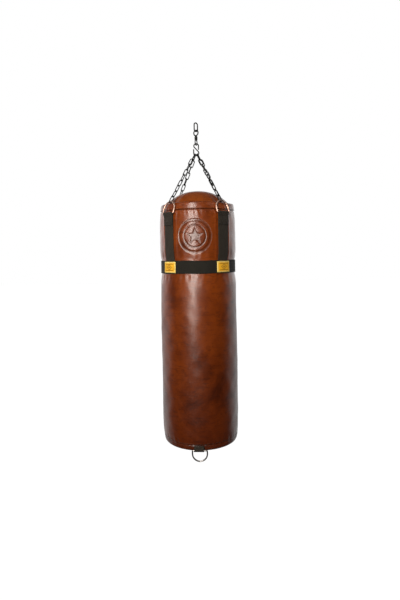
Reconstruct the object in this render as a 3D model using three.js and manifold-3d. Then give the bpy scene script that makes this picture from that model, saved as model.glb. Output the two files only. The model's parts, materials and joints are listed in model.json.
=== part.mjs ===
// Uppercut bag: a padded leather punching bag hung from four chains, an S hook and a swivel.
// Millimetres, +Z up, front towards -Y. The origin is where the ceiling hook bears, inside the top link.

import * as THREE from 'three';
import { mergeVertices } from 'three/addons/utils/BufferGeometryUtils.js';
import Module from 'manifold-3d';

const wasm = await Module();
wasm.setup();

// ---- driving dimensions -------------------------------------------------------------------

const GAP = 0.3;                       // clearance between neighbouring pieces
const QUARTER = Math.PI / 2;

// bag
const BAG_RADIUS = 152.5;              // 12 in across
const RIM_TOP = -332;
const TOP_SEAM = -362;                 // lower edge of the top hem
const BAG_BOTTOM = -1276;
const BOTTOM_SEAM = -1253;             // upper edge of the bottom hem
const RIM_DRAW_IN = 5.5;               // how much narrower the rim is than the bag
const FOOT_DRAW_IN = 3;
const FOOT_ROUND = 12;                 // radius of the bottom edge
const HEM_THICKNESS = 15;
const LEATHER = 3;
const PADDING_INSIDE = 118;            // radius of the filling
const DOME_TOP = -278;
const DOME_SKIRT = 131;                // radius of the closure under the hem
const DOME_RISE = 57;
const DOME_POWER = 2.6;                // flatter in the middle than a sphere
const DOME_THICKNESS = 4;
const PINCH = 12;                      // how far each D ring pulls the rim in
const PINCH_START = -378;
const BAG_SEGMENTS = 40;

// webbing
const WEBBING = 50.8;                  // 2 in
const WEBBING_THICKNESS = 2.4;
const BAND_MIDDLE = -581.5;
const BAND_CINCH = 5;
const CINCH_SPREAD = 50;
const CORNERS = { front_left: -136, front_right: -50, back_right: 40, back_left: 130 };  // degrees
const FOLD_LENGTH = 46;                // doubled webbing under the D ring
const STRAP_STEPS = 7;
const LABEL_WIDTH = 63;
const LABEL_HEIGHT = 42;
const LABEL_THICKNESS = 1.2;

// D rings
const RING_WIRE = 5.6;
const RING_HALF_WIDTH = 30;            // wire centre to bag centre line
const RING_LEG = 19;
const RING_CORNER = 5;
const RING_BAR_Z = -374;
const RING_LEAN = 17;                  // degrees towards the bag's axis

// bottom tab and ring
const TAB_ANGLE = -93;
const TAB_WIDTH = 38;
const BOTTOM_RING_HALF_WIDTH = 28;
const BOTTOM_RING_LEG = 12;
const BOTTOM_BAR_Z = -1268;
const BOTTOM_RING_SLIDE = 3;           // the ring has slid along its bar

// chain
const CHAIN_LINKS = 9;
const LINK_WIRE = 3.8;
const LINK_WIDTH = 16;
const LINK_INSIDE = 28;
const SEATS = { front_left: -60, back_left: -19.5, front_right: 19.5, back_right: 60 };
const RING_PLAY = 1.2;                 // slack between the last link and the D ring

// S hook
const HOOK_WIRE = 4.8;
const HOOK_TOP_RADIUS = 9.4;
const HOOK_BOTTOM_RADIUS = 10.4;
const HOOK_LENGTH = 49;                // wire centre to wire centre
const HOOK_TIP_RISE = 14;

// swivel
const TOP_LINK_WIRE = 5;
const TOP_LINK_WIDTH = 22;
const TOP_LINK_INSIDE = 30;
const TOP_LINK_TURN = 38;
const EYE_RADIUS = 11;
const EYE_WIRE = 5;
const EYE_TURN = -38;
const STEM_RADIUS = 3.2;
const STEM_HEAD_RADIUS = 4.6;
const COLLAR_RADIUS = 4.6;
const BARREL_RADIUS = 6.2;
const BARREL_LENGTH = 15.6;
const BARREL_LIP = 3.2;
const LOWER_EYE_WIRE = 4.4;
const LOWER_EYE_WIDTH = 20;
const LOWER_EYE_DROP = 20.5;
const LOWER_EYE_TURN = 60;

// ---- heights worked out from the dimensions above -----------------------------------------

const EYE_CENTRE = -TOP_LINK_INSIDE + EYE_WIRE / 2 + GAP - EYE_RADIUS;
const EYE_BOTTOM = EYE_CENTRE - EYE_RADIUS;
const BARREL_TOP = EYE_BOTTOM - EYE_WIRE / 2 - 1.7;
const BARREL_BOTTOM = BARREL_TOP - BARREL_LENGTH;
const LOWER_EYE_TOP = BARREL_BOTTOM + 1.5;
const LOWER_EYE_BOTTOM = LOWER_EYE_TOP - LOWER_EYE_DROP;
const HOOK_TOP = LOWER_EYE_BOTTOM + (LOWER_EYE_WIRE + HOOK_WIRE) / 2 + 5 * GAP;
const HOOK_BOTTOM = HOOK_TOP - HOOK_LENGTH;
const HOOK_BEND = HOOK_BOTTOM + HOOK_BOTTOM_RADIUS;

// ---- materials ----------------------------------------------------------------------------

const finish = (color, roughness, metalness) => new THREE.MeshStandardMaterial({ color, roughness, metalness });
const brownLeather = () => finish('#6b3415', 0.45, 0);
const blackWebbing = () => finish('#2a251f', 0.85, 0);
const blackSteel = () => finish('#23241f', 0.4, 1);
const antiqueCopper = () => finish('#b98468', 0.35, 1);
const dullNickel = () => finish('#8d8b86', 0.35, 1);
const yellowWeave = () => finish('#c8962f', 0.8, 0);
const greyFoam = () => finish('#77777a', 0.95, 0);
const textileFill = () => finish('#9a8f7c', 0.95, 0);

// ---- helpers ------------------------------------------------------------------------------

const radians = THREE.MathUtils.degToRad;

// Smooth step from 0 at `from` to 1 at `to`.
function ease(value, from, to) {
  const t = THREE.MathUtils.clamp((value - from) / (to - from), 0, 1);
  return t * t * (3 - 2 * t);
}

// Outer radius of the leather at height z.
function bagRadius(z) {
  const cinch = BAND_CINCH * Math.exp(-(((z - BAND_MIDDLE) / CINCH_SPREAD) ** 4));
  const rim = RIM_DRAW_IN * ease(z, RIM_TOP - 80, RIM_TOP);
  const foot = FOOT_DRAW_IN * ease(z, BAG_BOTTOM + 120, BAG_BOTTOM);
  return BAG_RADIUS - cinch - rim - foot;
}

// How far the pull of the nearest D ring draws a point of the bag in.
function pinchAt(radius, angle, z) {
  const lobe = 0.5 + 0.5 * Math.cos(4 * (angle - radians(CORNERS.back_right)));
  const rise = ease(z, PINCH_START, RIM_TOP + 12);
  return PINCH * lobe * rise * Math.min(1, radius / BAG_RADIUS) ** 2;
}

function pinchRim(geometry) {
  const position = geometry.attributes.position;
  for (let i = 0; i < position.count; i += 1) {
    const x = position.getX(i);
    const y = position.getY(i);
    const radius = Math.hypot(x, y);
    const angle = Math.atan2(y, x);
    const drawn = radius - pinchAt(radius, angle, position.getZ(i));
    position.setX(i, drawn * Math.cos(angle));
    position.setY(i, drawn * Math.sin(angle));
  }
  return geometry;
}

// Solid of revolution about Z from [radius, z] pairs.
function turned(profile, segments = BAG_SEGMENTS) {
  const points = profile.map(([radius, z]) => new THREE.Vector2(radius, z));
  return new THREE.LatheGeometry(points, segments).rotateX(QUARTER);
}

// Wire bent round a closed flat path: a torus whose rings are moved onto the path's points.
// The path lies in the XZ plane.
function closedWire(path, wire, sides = 8, divisions = 4) {
  const points = path.getPoints(divisions);
  if (points[0].distanceTo(points.at(-1)) < GAP) points.pop();
  const count = points.length;
  const torus = new THREE.TorusGeometry(1, 0.5, sides, count);
  const position = torus.attributes.position;
  for (let i = 0; i < position.count; i += 1) {
    const along = i % (count + 1) % count;
    const around = (Math.floor(i / (count + 1)) / sides) * Math.PI * 2;
    const before = points[(along + count - 1) % count];
    const after = points[(along + 1) % count];
    const tangent = after.clone().sub(before).normalize();
    const out = Math.cos(around) * wire / 2;
    const x = points[along].x + tangent.y * out;
    const z = points[along].y - tangent.x * out;
    position.setXYZ(i, x, -Math.sin(around) * wire / 2, z);
  }
  return torus;
}

// Long round-ended loop with its wire centre line `width` across and from z = 0 down to -drop.
function loopPath(width, drop) {
  const radius = width / 2;
  const path = new THREE.Path();
  path.absarc(0, -radius, radius, 0, Math.PI, false);
  path.absarc(0, radius - drop, radius, Math.PI, Math.PI * 2, false);
  path.closePath();
  return path;
}

// D-shaped loop: bar along z = 0, bow above it.
function ringPath(halfWidth, leg, corner) {
  const path = new THREE.Path();
  path.absarc(halfWidth - corner, corner, corner, -QUARTER, 0, false);
  path.absarc(0, leg, halfWidth, 0, Math.PI, false);
  path.absarc(corner - halfWidth, corner, corner, Math.PI, Math.PI * 1.5, false);
  path.closePath();
  return path;
}

// Round wire along an open curve, with flat ends.
function openWire(curve, wire, steps, sides = 8) {
  const section = new THREE.Shape();
  section.absarc(0, 0, wire / 2, 0, Math.PI * 2, false);
  const options = { extrudePath: curve, steps, curveSegments: sides / 2, bevelEnabled: false };
  return new THREE.ExtrudeGeometry(section, options);
}

function toSolid(geometry) {
  const bare = geometry.clone();
  bare.deleteAttribute('normal');
  bare.deleteAttribute('uv');
  const merged = mergeVertices(bare, 1e-4);
  return new wasm.Manifold(new wasm.Mesh({
    numProp: 3,
    vertProperties: new Float32Array(merged.attributes.position.array),
    triVerts: new Uint32Array(merged.index.array),
  }));
}

function toGeometry(solid) {
  const mesh = solid.getMesh();
  const geometry = new THREE.BufferGeometry();
  geometry.setAttribute('position', new THREE.BufferAttribute(mesh.vertProperties, 3));
  geometry.setIndex(new THREE.BufferAttribute(mesh.triVerts, 1));
  geometry.computeVertexNormals();
  return geometry;
}

// Strip of webbing extruded from a [radius, z] outline, its width bent to the bag's roundness
// below `flatAbove` and straight above it, turned to its place round the bag.
function wrapStrip(outline, width, angle, flatAbove, steps = 5) {
  const options = { depth: width, steps, bevelEnabled: false, curveSegments: 4 };
  const geometry = new THREE.ExtrudeGeometry(outline, options);
  geometry.rotateX(QUARTER).translate(0, width / 2, 0);
  const position = geometry.attributes.position;
  for (let i = 0; i < position.count; i += 1) {
    const radius = position.getX(i);
    const across = position.getY(i);
    const fall = radius - Math.sqrt(radius * radius - across * across);
    const bend = ease(position.getZ(i), flatAbove, flatAbove - 30);
    position.setX(i, radius - fall * bend);
  }
  return geometry.rotateZ(radians(angle));
}

const bag = new THREE.Group();

function addPiece(name, geometry, material) {
  const mesh = new THREE.Mesh(geometry, material);
  mesh.name = name;
  bag.add(mesh);
  return mesh;
}

// ---- top link and swivel ------------------------------------------------------------------

function addTopLink() {
  const drop = TOP_LINK_INSIDE + TOP_LINK_WIRE;
  const link = closedWire(loopPath(TOP_LINK_WIDTH - TOP_LINK_WIRE, drop), TOP_LINK_WIRE);
  const mesh = addPiece('top_link', link, blackSteel());
  mesh.position.z = TOP_LINK_WIRE / 2;
  mesh.rotation.z = radians(TOP_LINK_TURN);
}

// Round eye whose stem turns in the barrel and is held by its head.
function addSwivelEye() {
  const path = new THREE.Path();
  path.absarc(0, EYE_CENTRE, EYE_RADIUS, 0, Math.PI * 2, false);
  const eye = closedWire(path, EYE_WIRE, 8, 8);
  const collarBottom = BARREL_TOP + GAP;
  const headTop = BARREL_TOP - BARREL_LIP - GAP;
  const headBottom = headTop - 3;
  const stem = turned([
    [0, EYE_BOTTOM],
    [COLLAR_RADIUS, EYE_BOTTOM],
    [COLLAR_RADIUS, collarBottom],
    [STEM_RADIUS, collarBottom],
    [STEM_RADIUS, headTop],
    [STEM_HEAD_RADIUS, headTop],
    [STEM_HEAD_RADIUS, headBottom],
    [0, headBottom],
  ].reverse(), 12);
  const whole = toSolid(eye).add(toSolid(stem));
  addPiece('swivel_eye', toGeometry(whole), blackSteel()).rotation.z = radians(EYE_TURN);
}

// Barrel with the socket for the stem's head, and the lower eye in one piece with it.
function addSwivelBarrel() {
  const bore = STEM_RADIUS + GAP;
  const socket = STEM_HEAD_RADIUS + GAP;
  const lipBottom = BARREL_TOP - BARREL_LIP;
  const socketBottom = lipBottom - 4.5;
  const bevel = 1;
  const barrel = turned([
    [0, BARREL_BOTTOM],
    [BARREL_RADIUS - bevel, BARREL_BOTTOM],
    [BARREL_RADIUS, BARREL_BOTTOM + bevel],
    [BARREL_RADIUS, BARREL_TOP - bevel],
    [BARREL_RADIUS - bevel, BARREL_TOP],
    [bore, BARREL_TOP],
    [bore, lipBottom],
    [socket, lipBottom],
    [socket, socketBottom],
    [0, socketBottom],
  ], 12);
  const eye = closedWire(loopPath(LOWER_EYE_WIDTH - LOWER_EYE_WIRE, LOWER_EYE_DROP), LOWER_EYE_WIRE);
  eye.translate(0, 0, LOWER_EYE_TOP);
  const whole = toSolid(barrel).add(toSolid(eye));
  addPiece('swivel_barrel', toGeometry(whole), blackSteel()).rotation.z = radians(LOWER_EYE_TURN);
}

// ---- S hook -------------------------------------------------------------------------------

function addHook() {
  const topCentre = HOOK_TOP - HOOK_TOP_RADIUS;
  const points = [new THREE.Vector3(HOOK_TOP_RADIUS, 0, topCentre - HOOK_TIP_RISE)];
  for (let turn = 0; turn <= 195; turn += 19.5) {
    const a = radians(turn);
    points.push(new THREE.Vector3(HOOK_TOP_RADIUS * Math.cos(a), 0, topCentre + HOOK_TOP_RADIUS * Math.sin(a)));
  }
  for (let turn = 15; turn >= -180; turn -= 19.5) {
    const a = radians(turn);
    points.push(new THREE.Vector3(HOOK_BOTTOM_RADIUS * Math.cos(a), 0, HOOK_BEND + HOOK_BOTTOM_RADIUS * Math.sin(a)));
  }
  points.push(new THREE.Vector3(-HOOK_BOTTOM_RADIUS, 0, HOOK_BEND + HOOK_TIP_RISE));
  const curve = new THREE.CatmullRomCurve3(points, false, 'centripetal');
  addPiece('s_hook', openWire(curve, HOOK_WIRE, 36), blackSteel());
}

// ---- D rings ------------------------------------------------------------------------------

const ringBarRadius = bagRadius(RING_BAR_Z) + WEBBING_THICKNESS + RING_WIRE / 2 + 3 * GAP;
const ringRise = RING_LEG + RING_HALF_WIDTH;

// Wire centre at the crown of the D ring that stands at `angle` degrees.
function ringCrown(angle) {
  const lean = radians(RING_LEAN);
  const radius = ringBarRadius - ringRise * Math.sin(lean);
  const height = RING_BAR_Z + ringRise * Math.cos(lean);
  return new THREE.Vector3(radius * Math.cos(radians(angle)), radius * Math.sin(radians(angle)), height);
}

function addRing(name, angle) {
  const ring = closedWire(ringPath(RING_HALF_WIDTH, RING_LEG, RING_CORNER), RING_WIRE, 8, 4);
  ring.rotateX(-radians(RING_LEAN)).translate(0, -ringBarRadius, RING_BAR_Z);
  addPiece(name, ring, antiqueCopper()).rotation.z = radians(angle) + QUARTER;
}

// ---- chains -------------------------------------------------------------------------------

// Angle from one direction to another about an axis, within a half turn either way of none,
// because a link looks the same from both faces.
function faceAngle(from, to, axis) {
  const side = from.clone().cross(to).dot(axis);
  const angle = Math.atan2(side, from.dot(to));
  return angle - Math.PI * Math.round(angle / Math.PI);
}

// Taut chain from its seat in the hook's lower bend to the crown of its D ring. The first link
// faces along the hook's wire, the last along the ring's wire, and the others share the turn.
function addChain(name, angle) {
  const seat = radians(SEATS[name]);
  const hookWire = new THREE.Vector3(Math.sin(seat), 0, -Math.cos(seat)).multiplyScalar(HOOK_BOTTOM_RADIUS);
  hookWire.z += HOOK_BEND;
  const hookRun = new THREE.Vector3(Math.cos(seat), 0, Math.sin(seat));
  const crown = ringCrown(angle);
  const pull = crown.clone().sub(hookWire).normalize();
  const bearing = pull.clone().addScaledVector(hookRun, -pull.dot(hookRun)).normalize();
  const start = hookWire.clone().addScaledVector(bearing, -(HOOK_WIRE + LINK_WIRE) / 2 - 2 * GAP);
  const end = crown.clone().addScaledVector(pull, (RING_WIRE + LINK_WIRE) / 2 + RING_PLAY);
  const along = end.clone().sub(start).normalize();
  const step = (start.distanceTo(end) - LINK_INSIDE - LINK_WIRE) / (CHAIN_LINKS - 1);
  const firstFace = new THREE.Vector3(0, 1, 0).cross(along).normalize();
  const ringRun = new THREE.Vector3(-Math.sin(radians(angle)), Math.cos(radians(angle)), 0);
  const lastFace = ringRun.addScaledVector(along, -ringRun.dot(along)).normalize();
  const turn = QUARTER + faceAngle(firstFace, lastFace, along) / (CHAIN_LINKS - 1);
  const down = along.clone().negate();
  for (let i = 0; i < CHAIN_LINKS; i += 1) {
    const face = firstFace.clone().applyAxisAngle(along, turn * i);
    const across = face.clone().cross(down);
    const link = closedWire(loopPath(LINK_WIDTH - LINK_WIRE, LINK_INSIDE + LINK_WIRE), LINK_WIRE, 6, 2);
    const mesh = addPiece(`chain_${name}_link_${i + 1}`, link, blackSteel());
    const frame = new THREE.Matrix4().makeBasis(across, face, down);
    mesh.quaternion.setFromRotationMatrix(frame);
    mesh.position.copy(start).addScaledVector(along, step * i);
  }
}

// ---- webbing ------------------------------------------------------------------------------

// Outline of a strap in [radius, z]: one layer under the band, doubled below the D ring, and a
// fold round the ring's bar.
function strapOutline() {
  const strapEnd = BAND_MIDDLE - WEBBING / 2;
  const foldEnd = RING_BAR_Z - FOLD_LENGTH;
  const bore = RING_WIRE / 2 + GAP;
  const foldRadius = bore + WEBBING_THICKNESS;
  const doubled = RING_BAR_Z - foldRadius - 2;
  const inner = (z) => bagRadius(z) + 2 * GAP;
  const heights = Array.from({ length: STRAP_STEPS + 1 }, (_, i) => (
    THREE.MathUtils.lerp(strapEnd, foldEnd, i / STRAP_STEPS)
  ));
  const outline = new THREE.Shape();
  outline.moveTo(inner(strapEnd), strapEnd);
  heights.forEach((z) => outline.lineTo(inner(z) + WEBBING_THICKNESS, z));
  outline.lineTo(inner(foldEnd) + 2 * WEBBING_THICKNESS, foldEnd);
  outline.lineTo(inner(doubled) + 2 * WEBBING_THICKNESS, doubled);
  outline.absarc(ringBarRadius, RING_BAR_Z, foldRadius, 0, Math.PI, false);
  outline.lineTo(inner(doubled), doubled);
  heights.reverse().forEach((z) => outline.lineTo(inner(z), z));
  const bar = new THREE.Path();
  bar.absarc(ringBarRadius, RING_BAR_Z, bore, 0, Math.PI * 2, true);
  outline.holes.push(bar);
  return outline;
}

function addStrap(name, angle) {
  const strap = wrapStrip(strapOutline(), WEBBING, angle, RING_BAR_Z - 10);
  addPiece(name, strap, blackWebbing());
}

// Cinched round the bag and the four straps.
function addBand() {
  const half = WEBBING / 2;
  const steps = 3;
  const inner = (z) => bagRadius(z) + WEBBING_THICKNESS + 4 * GAP;
  const heights = Array.from({ length: steps + 1 }, (_, i) => (
    THREE.MathUtils.lerp(BAND_MIDDLE - half, BAND_MIDDLE + half, i / steps)
  ));
  const outside = heights.map((z) => [inner(z) + WEBBING_THICKNESS, z]);
  const inside = heights.map((z) => [inner(z), z]).reverse();
  addPiece('waist_band', turned([...outside, ...inside, outside[0]], 48), blackWebbing());
}

function addLabel(name, angle) {
  const base = bagRadius(BAND_MIDDLE + LABEL_HEIGHT / 2) + 2 * WEBBING_THICKNESS + 5 * GAP;
  const outline = new THREE.Shape();
  outline.moveTo(base, BAND_MIDDLE - LABEL_HEIGHT / 2);
  outline.lineTo(base + LABEL_THICKNESS, BAND_MIDDLE - LABEL_HEIGHT / 2);
  outline.lineTo(base + LABEL_THICKNESS, BAND_MIDDLE + LABEL_HEIGHT / 2);
  outline.lineTo(base, BAND_MIDDLE + LABEL_HEIGHT / 2);
  outline.closePath();
  addPiece(name, wrapStrip(outline, LABEL_WIDTH, angle, 0, 10), yellowWeave());
}

// Short webbing loop sewn into the bottom seam at the front, and the D ring that hangs in it.
const tabRadius = bagRadius(BOTTOM_SEAM) + GAP;
const bottomBarRadius = tabRadius + WEBBING_THICKNESS + GAP + RING_WIRE / 2;

function addBottomTab() {
  const bore = RING_WIRE / 2 + GAP;
  const fold = bore + WEBBING_THICKNESS;
  const outline = new THREE.Shape();
  outline.moveTo(tabRadius + WEBBING_THICKNESS, BOTTOM_SEAM - GAP);
  outline.lineTo(tabRadius, BOTTOM_SEAM - GAP);
  outline.absarc(bottomBarRadius, BOTTOM_BAR_Z, fold, Math.PI, Math.PI * 2.6, false);
  outline.closePath();
  const bar = new THREE.Path();
  bar.absarc(bottomBarRadius, BOTTOM_BAR_Z, bore, 0, Math.PI * 2, true);
  outline.holes.push(bar);
  addPiece('bottom_tab', wrapStrip(outline, TAB_WIDTH, TAB_ANGLE, BAG_BOTTOM, 2), blackWebbing());
}

function addBottomRing() {
  const path = ringPath(BOTTOM_RING_HALF_WIDTH, BOTTOM_RING_LEG, RING_CORNER);
  const ring = closedWire(path, RING_WIRE, 8, 4).rotateX(Math.PI);
  ring.translate(BOTTOM_RING_SLIDE, -bottomBarRadius, BOTTOM_BAR_Z);
  addPiece('bottom_ring', ring, dullNickel()).rotation.z = radians(TAB_ANGLE) + QUARTER;
}

// ---- bag ----------------------------------------------------------------------------------

// Heights for the bag's wall, closest together at the rim, the band and the foot.
function wallHeights(bottom, top) {
  const stops = [
    [bottom, 3],
    [bottom + 120, 1],
    [BAND_MIDDLE - 75, 8],
    [BAND_MIDDLE + 75, 1],
    [RIM_TOP - 80, 5],
    [top, 0],
  ];
  const heights = [];
  stops.slice(0, -1).forEach(([from, steps], i) => {
    for (let k = 0; k < steps; k += 1) heights.push(THREE.MathUtils.lerp(from, stops[i + 1][0], k / steps));
  });
  return [...heights, top];
}

// Leather tube with a thick sewn hem at the rim and another at the foot.
function addLeatherShell() {
  const footRadius = bagRadius(BAG_BOTTOM);
  const rimRadius = bagRadius(RIM_TOP);
  const rounding = 4;
  const foot = [];
  for (let turn = -90; turn < 0; turn += 30) {
    const a = radians(turn);
    foot.push([
      footRadius - FOOT_ROUND * (1 - Math.cos(a)),
      BAG_BOTTOM + FOOT_ROUND * (1 + Math.sin(a)),
    ]);
  }
  const outside = wallHeights(BAG_BOTTOM + FOOT_ROUND, RIM_TOP - rounding).map((z) => [bagRadius(z), z]);
  const inside = wallHeights(BOTTOM_SEAM + 2, TOP_SEAM - 4).map((z) => [bagRadius(z) - LEATHER, z]).reverse();
  const profile = [
    [footRadius - HEM_THICKNESS, BAG_BOTTOM],
    ...foot,
    ...outside,
    [rimRadius - rounding, RIM_TOP],
    [rimRadius - HEM_THICKNESS + rounding, RIM_TOP],
    [rimRadius - HEM_THICKNESS, RIM_TOP - rounding],
    [bagRadius(TOP_SEAM) - HEM_THICKNESS, TOP_SEAM],
    ...inside,
    [footRadius - HEM_THICKNESS, BOTTOM_SEAM - 2],
    [footRadius - HEM_THICKNESS, BAG_BOTTOM],
  ];
  addPiece('leather_shell', pinchRim(turned(profile)), brownLeather());
}

// Height of the crowned closure at a radius, for a crown that ends at `edge`.
function crown(radius, edge, top) {
  return top - DOME_RISE * (radius / edge) ** DOME_POWER;
}

function crownProfile(edge, top, steps) {
  return Array.from({ length: steps + 1 }, (_, i) => {
    const radius = edge * (1 - i / steps);
    return [radius, crown(radius, edge, top)];
  });
}

function addDomeCap() {
  const skirtBottom = TOP_SEAM - 4;
  const inside = DOME_SKIRT - DOME_THICKNESS;
  const profile = [
    ...crownProfile(inside, DOME_TOP - DOME_THICKNESS, 5).reverse(),
    [inside, skirtBottom],
    [DOME_SKIRT, skirtBottom],
    ...crownProfile(DOME_SKIRT, DOME_TOP, 6),
  ];
  addPiece('dome_cap', pinchRim(turned(profile)), brownLeather());
}

function addBottomPanel() {
  const radius = bagRadius(BAG_BOTTOM) - HEM_THICKNESS - 2 * GAP;
  const bottom = BAG_BOTTOM + 3;
  const profile = [[0, bottom], [radius, bottom], [radius, bottom + DOME_THICKNESS], [0, bottom + DOME_THICKNESS]];
  addPiece('bottom_panel', turned(profile), brownLeather());
}

const paddingTop = TOP_SEAM - 8;

function addFoamPadding() {
  const outside = wallHeights(BOTTOM_SEAM + 4, paddingTop).map((z) => [bagRadius(z) - LEATHER - 2 * GAP, z]);
  const profile = [...outside, [PADDING_INSIDE, paddingTop], [PADDING_INSIDE, BOTTOM_SEAM + 4], outside[0]];
  addPiece('foam_padding', pinchRim(turned(profile)), greyFoam());
}

function addFilling() {
  const bottom = BAG_BOTTOM + 3 + DOME_THICKNESS + 2 * GAP;
  const wide = DOME_SKIRT - DOME_THICKNESS - 3 * GAP;
  const ledge = paddingTop + 2 * GAP;
  const profile = [
    [0, bottom],
    [PADDING_INSIDE - 2 * GAP, bottom],
    [PADDING_INSIDE - 2 * GAP, ledge],
    [wide, ledge],
    ...crownProfile(wide, DOME_TOP - DOME_THICKNESS - 2, 6),
  ];
  addPiece('filling', pinchRim(turned(profile)), textileFill());
}

// ---- assembly -----------------------------------------------------------------------------

addTopLink();
addSwivelEye();
addSwivelBarrel();
addHook();
for (const [corner, angle] of Object.entries(CORNERS)) {
  addChain(corner, angle);
  addRing(`d_ring_${corner}`, angle);
  addStrap(`strap_${corner}`, angle);
  addLabel(`label_${corner}`, angle);
}
addBand();
addBottomTab();
addBottomRing();
addLeatherShell();
addDomeCap();
addBottomPanel();
addFoamPadding();
addFilling();

export default bag;
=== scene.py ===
import json
import math

import bmesh
import bpy
import numpy as np
from mathutils import Matrix, Vector

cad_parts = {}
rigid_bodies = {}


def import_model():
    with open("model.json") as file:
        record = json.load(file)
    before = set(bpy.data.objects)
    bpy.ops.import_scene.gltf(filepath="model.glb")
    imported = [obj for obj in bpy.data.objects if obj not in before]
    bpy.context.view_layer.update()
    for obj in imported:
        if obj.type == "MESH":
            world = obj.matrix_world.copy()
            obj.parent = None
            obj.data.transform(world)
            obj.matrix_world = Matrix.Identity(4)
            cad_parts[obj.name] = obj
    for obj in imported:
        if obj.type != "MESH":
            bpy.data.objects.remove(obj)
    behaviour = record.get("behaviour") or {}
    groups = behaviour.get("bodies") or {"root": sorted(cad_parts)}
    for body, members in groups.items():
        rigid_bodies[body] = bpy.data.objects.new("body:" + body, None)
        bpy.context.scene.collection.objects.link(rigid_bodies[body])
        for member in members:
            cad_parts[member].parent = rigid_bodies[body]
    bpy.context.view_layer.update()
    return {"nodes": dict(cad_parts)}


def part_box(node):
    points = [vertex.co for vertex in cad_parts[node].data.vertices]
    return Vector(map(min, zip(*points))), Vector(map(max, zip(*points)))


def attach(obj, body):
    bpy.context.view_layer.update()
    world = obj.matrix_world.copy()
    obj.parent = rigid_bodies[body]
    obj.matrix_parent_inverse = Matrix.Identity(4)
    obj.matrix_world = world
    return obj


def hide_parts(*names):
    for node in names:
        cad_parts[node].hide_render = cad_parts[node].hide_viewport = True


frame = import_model()

MM = 0.001
TAU = math.tau

# ---- places and sizes, from the frame ---------------------------------------------------

SHELL_LOW, SHELL_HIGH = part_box("leather_shell")
BAND_LOW, BAND_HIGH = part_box("waist_band")
RIM_TOP = SHELL_HIGH.z
FOOT = SHELL_LOW.z
BAG_RADIUS = (SHELL_HIGH.x - SHELL_LOW.x) / 2
BAND_MIDDLE = (BAND_LOW.z + BAND_HIGH.z) / 2
WEBBING_WIDTH = BAND_HIGH.z - BAND_LOW.z
DOME_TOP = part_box("dome_cap")[1].z
CORNERS = {"front_left": -136, "front_right": -50, "back_right": 40, "back_left": 130}

# sizes of the real pieces
TOP_SEAM = RIM_TOP - 30 * MM
FOOT_SEAM = FOOT + 23 * MM
HEM = 15 * MM
WEBBING = 2.4 * MM
LEATHER = 3 * MM
RIM_DRAW_IN = 5.5 * MM
RIM_DRAW_HEIGHT = 80 * MM
FOOT_DRAW_IN = 3 * MM
FOOT_DRAW_HEIGHT = 120 * MM
FOOT_TUCK = 5 * MM
FOOT_TUCK_HEIGHT = 62 * MM
FOOT_ROUND = 9.5 * MM
CINCH = 5 * MM
CINCH_SPREAD = 50 * MM
PINCH = 12 * MM
PINCH_LOW = RIM_TOP - 46 * MM
PINCH_HIGH = RIM_TOP + 12 * MM
DOME_SKIRT = 131 * MM
DOME_RISE = 57 * MM
DOME_POWER = 2.6
SLACK = 0.3 * MM
RING_WIRE = 5.6 * MM
RING_HALF_WIDTH = 30 * MM
RING_LEG = 19 * MM
RING_CORNER = 5 * MM
RING_BAR_Z = -374 * MM
RING_LEAN = math.radians(17)
TAB_ANGLE = -93
TAB_WIDTH = 38 * MM
FOOT_RING_HALF_WIDTH = 28 * MM
FOOT_RING_LEG = 12 * MM
FOOT_RING_SHIFT = 3 * MM
BOTTOM_BAR_Z = -1268 * MM
FOLD_LENGTH = 46 * MM
FOLD_MOUTH = 11 * MM


# ---- small helpers ----------------------------------------------------------------------

def ease(value, start, end):
    """0 at start, 1 at end, smooth between."""
    t = np.clip((np.asarray(value, float) - start) / (end - start), 0, 1)
    return t * t * (3 - 2 * t)


def around(angle):
    """Outward and sideways directions at an angle in degrees round the bag."""
    a = math.radians(angle)
    return np.array([math.cos(a), math.sin(a), 0]), np.array([-math.sin(a), math.cos(a), 0])


def near(value, middle, width):
    """1 at the middle, and close to 0 beyond twice the width on both sides of it."""
    return np.exp(-(((value - middle) / width) ** 2))


def round_from(phi, angle):
    """Distance round the bag from an angle, both angles in radians."""
    return ((phi - angle + math.pi) % TAU - math.pi) * BAG_RADIUS


def on_round(radius, phi, z):
    """Places at a radius and an angle in radians round the bag."""
    return np.stack([radius * np.cos(phi), radius * np.sin(phi), z + 0 * phi], -1)


def ripple(phi, z, seed, turns, lengths, count=14):
    """Smooth noise from -1 to 1 that closes on itself round the bag."""
    draw = np.random.default_rng(seed)
    total = np.zeros(np.broadcast(phi, z).shape)
    for _ in range(count):
        k = draw.integers(turns[0], turns[1] + 1)
        m = TAU / draw.uniform(*lengths) * draw.choice([-1, 1])
        total += np.sin(k * phi + m * z + draw.uniform(0, TAU))
    return total / math.sqrt(count)


def bag_radius(z):
    """Outer radius of the leather, before its creases."""
    z = np.asarray(z, float)
    cinch = CINCH * np.exp(-(((z - BAND_MIDDLE) / CINCH_SPREAD) ** 4))
    rim = RIM_DRAW_IN * ease(z, RIM_TOP - RIM_DRAW_HEIGHT, RIM_TOP)
    foot = FOOT_DRAW_IN * ease(z, FOOT + FOOT_DRAW_HEIGHT, FOOT)
    return BAG_RADIUS - cinch - rim - foot


def pinch(radius, phi, z):
    """How far the D rings draw the rim in."""
    lobe = 0.5 + 0.5 * np.cos(4 * (phi - math.radians(CORNERS["back_right"])))
    rise = ease(z, PINCH_LOW, PINCH_HIGH)
    return PINCH * lobe * rise * np.minimum(1, radius / BAG_RADIUS) ** 2


def finish_object(name, mesh, material, smooth=True):
    """Object at the origin that holds a finished mesh in one material."""
    obj = bpy.data.objects.new(name, mesh)
    bpy.context.collection.objects.link(obj)
    mesh.materials.clear()
    mesh.materials.append(material)
    mesh.polygons.foreach_set("use_smooth", [smooth] * len(mesh.polygons))
    return obj


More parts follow.
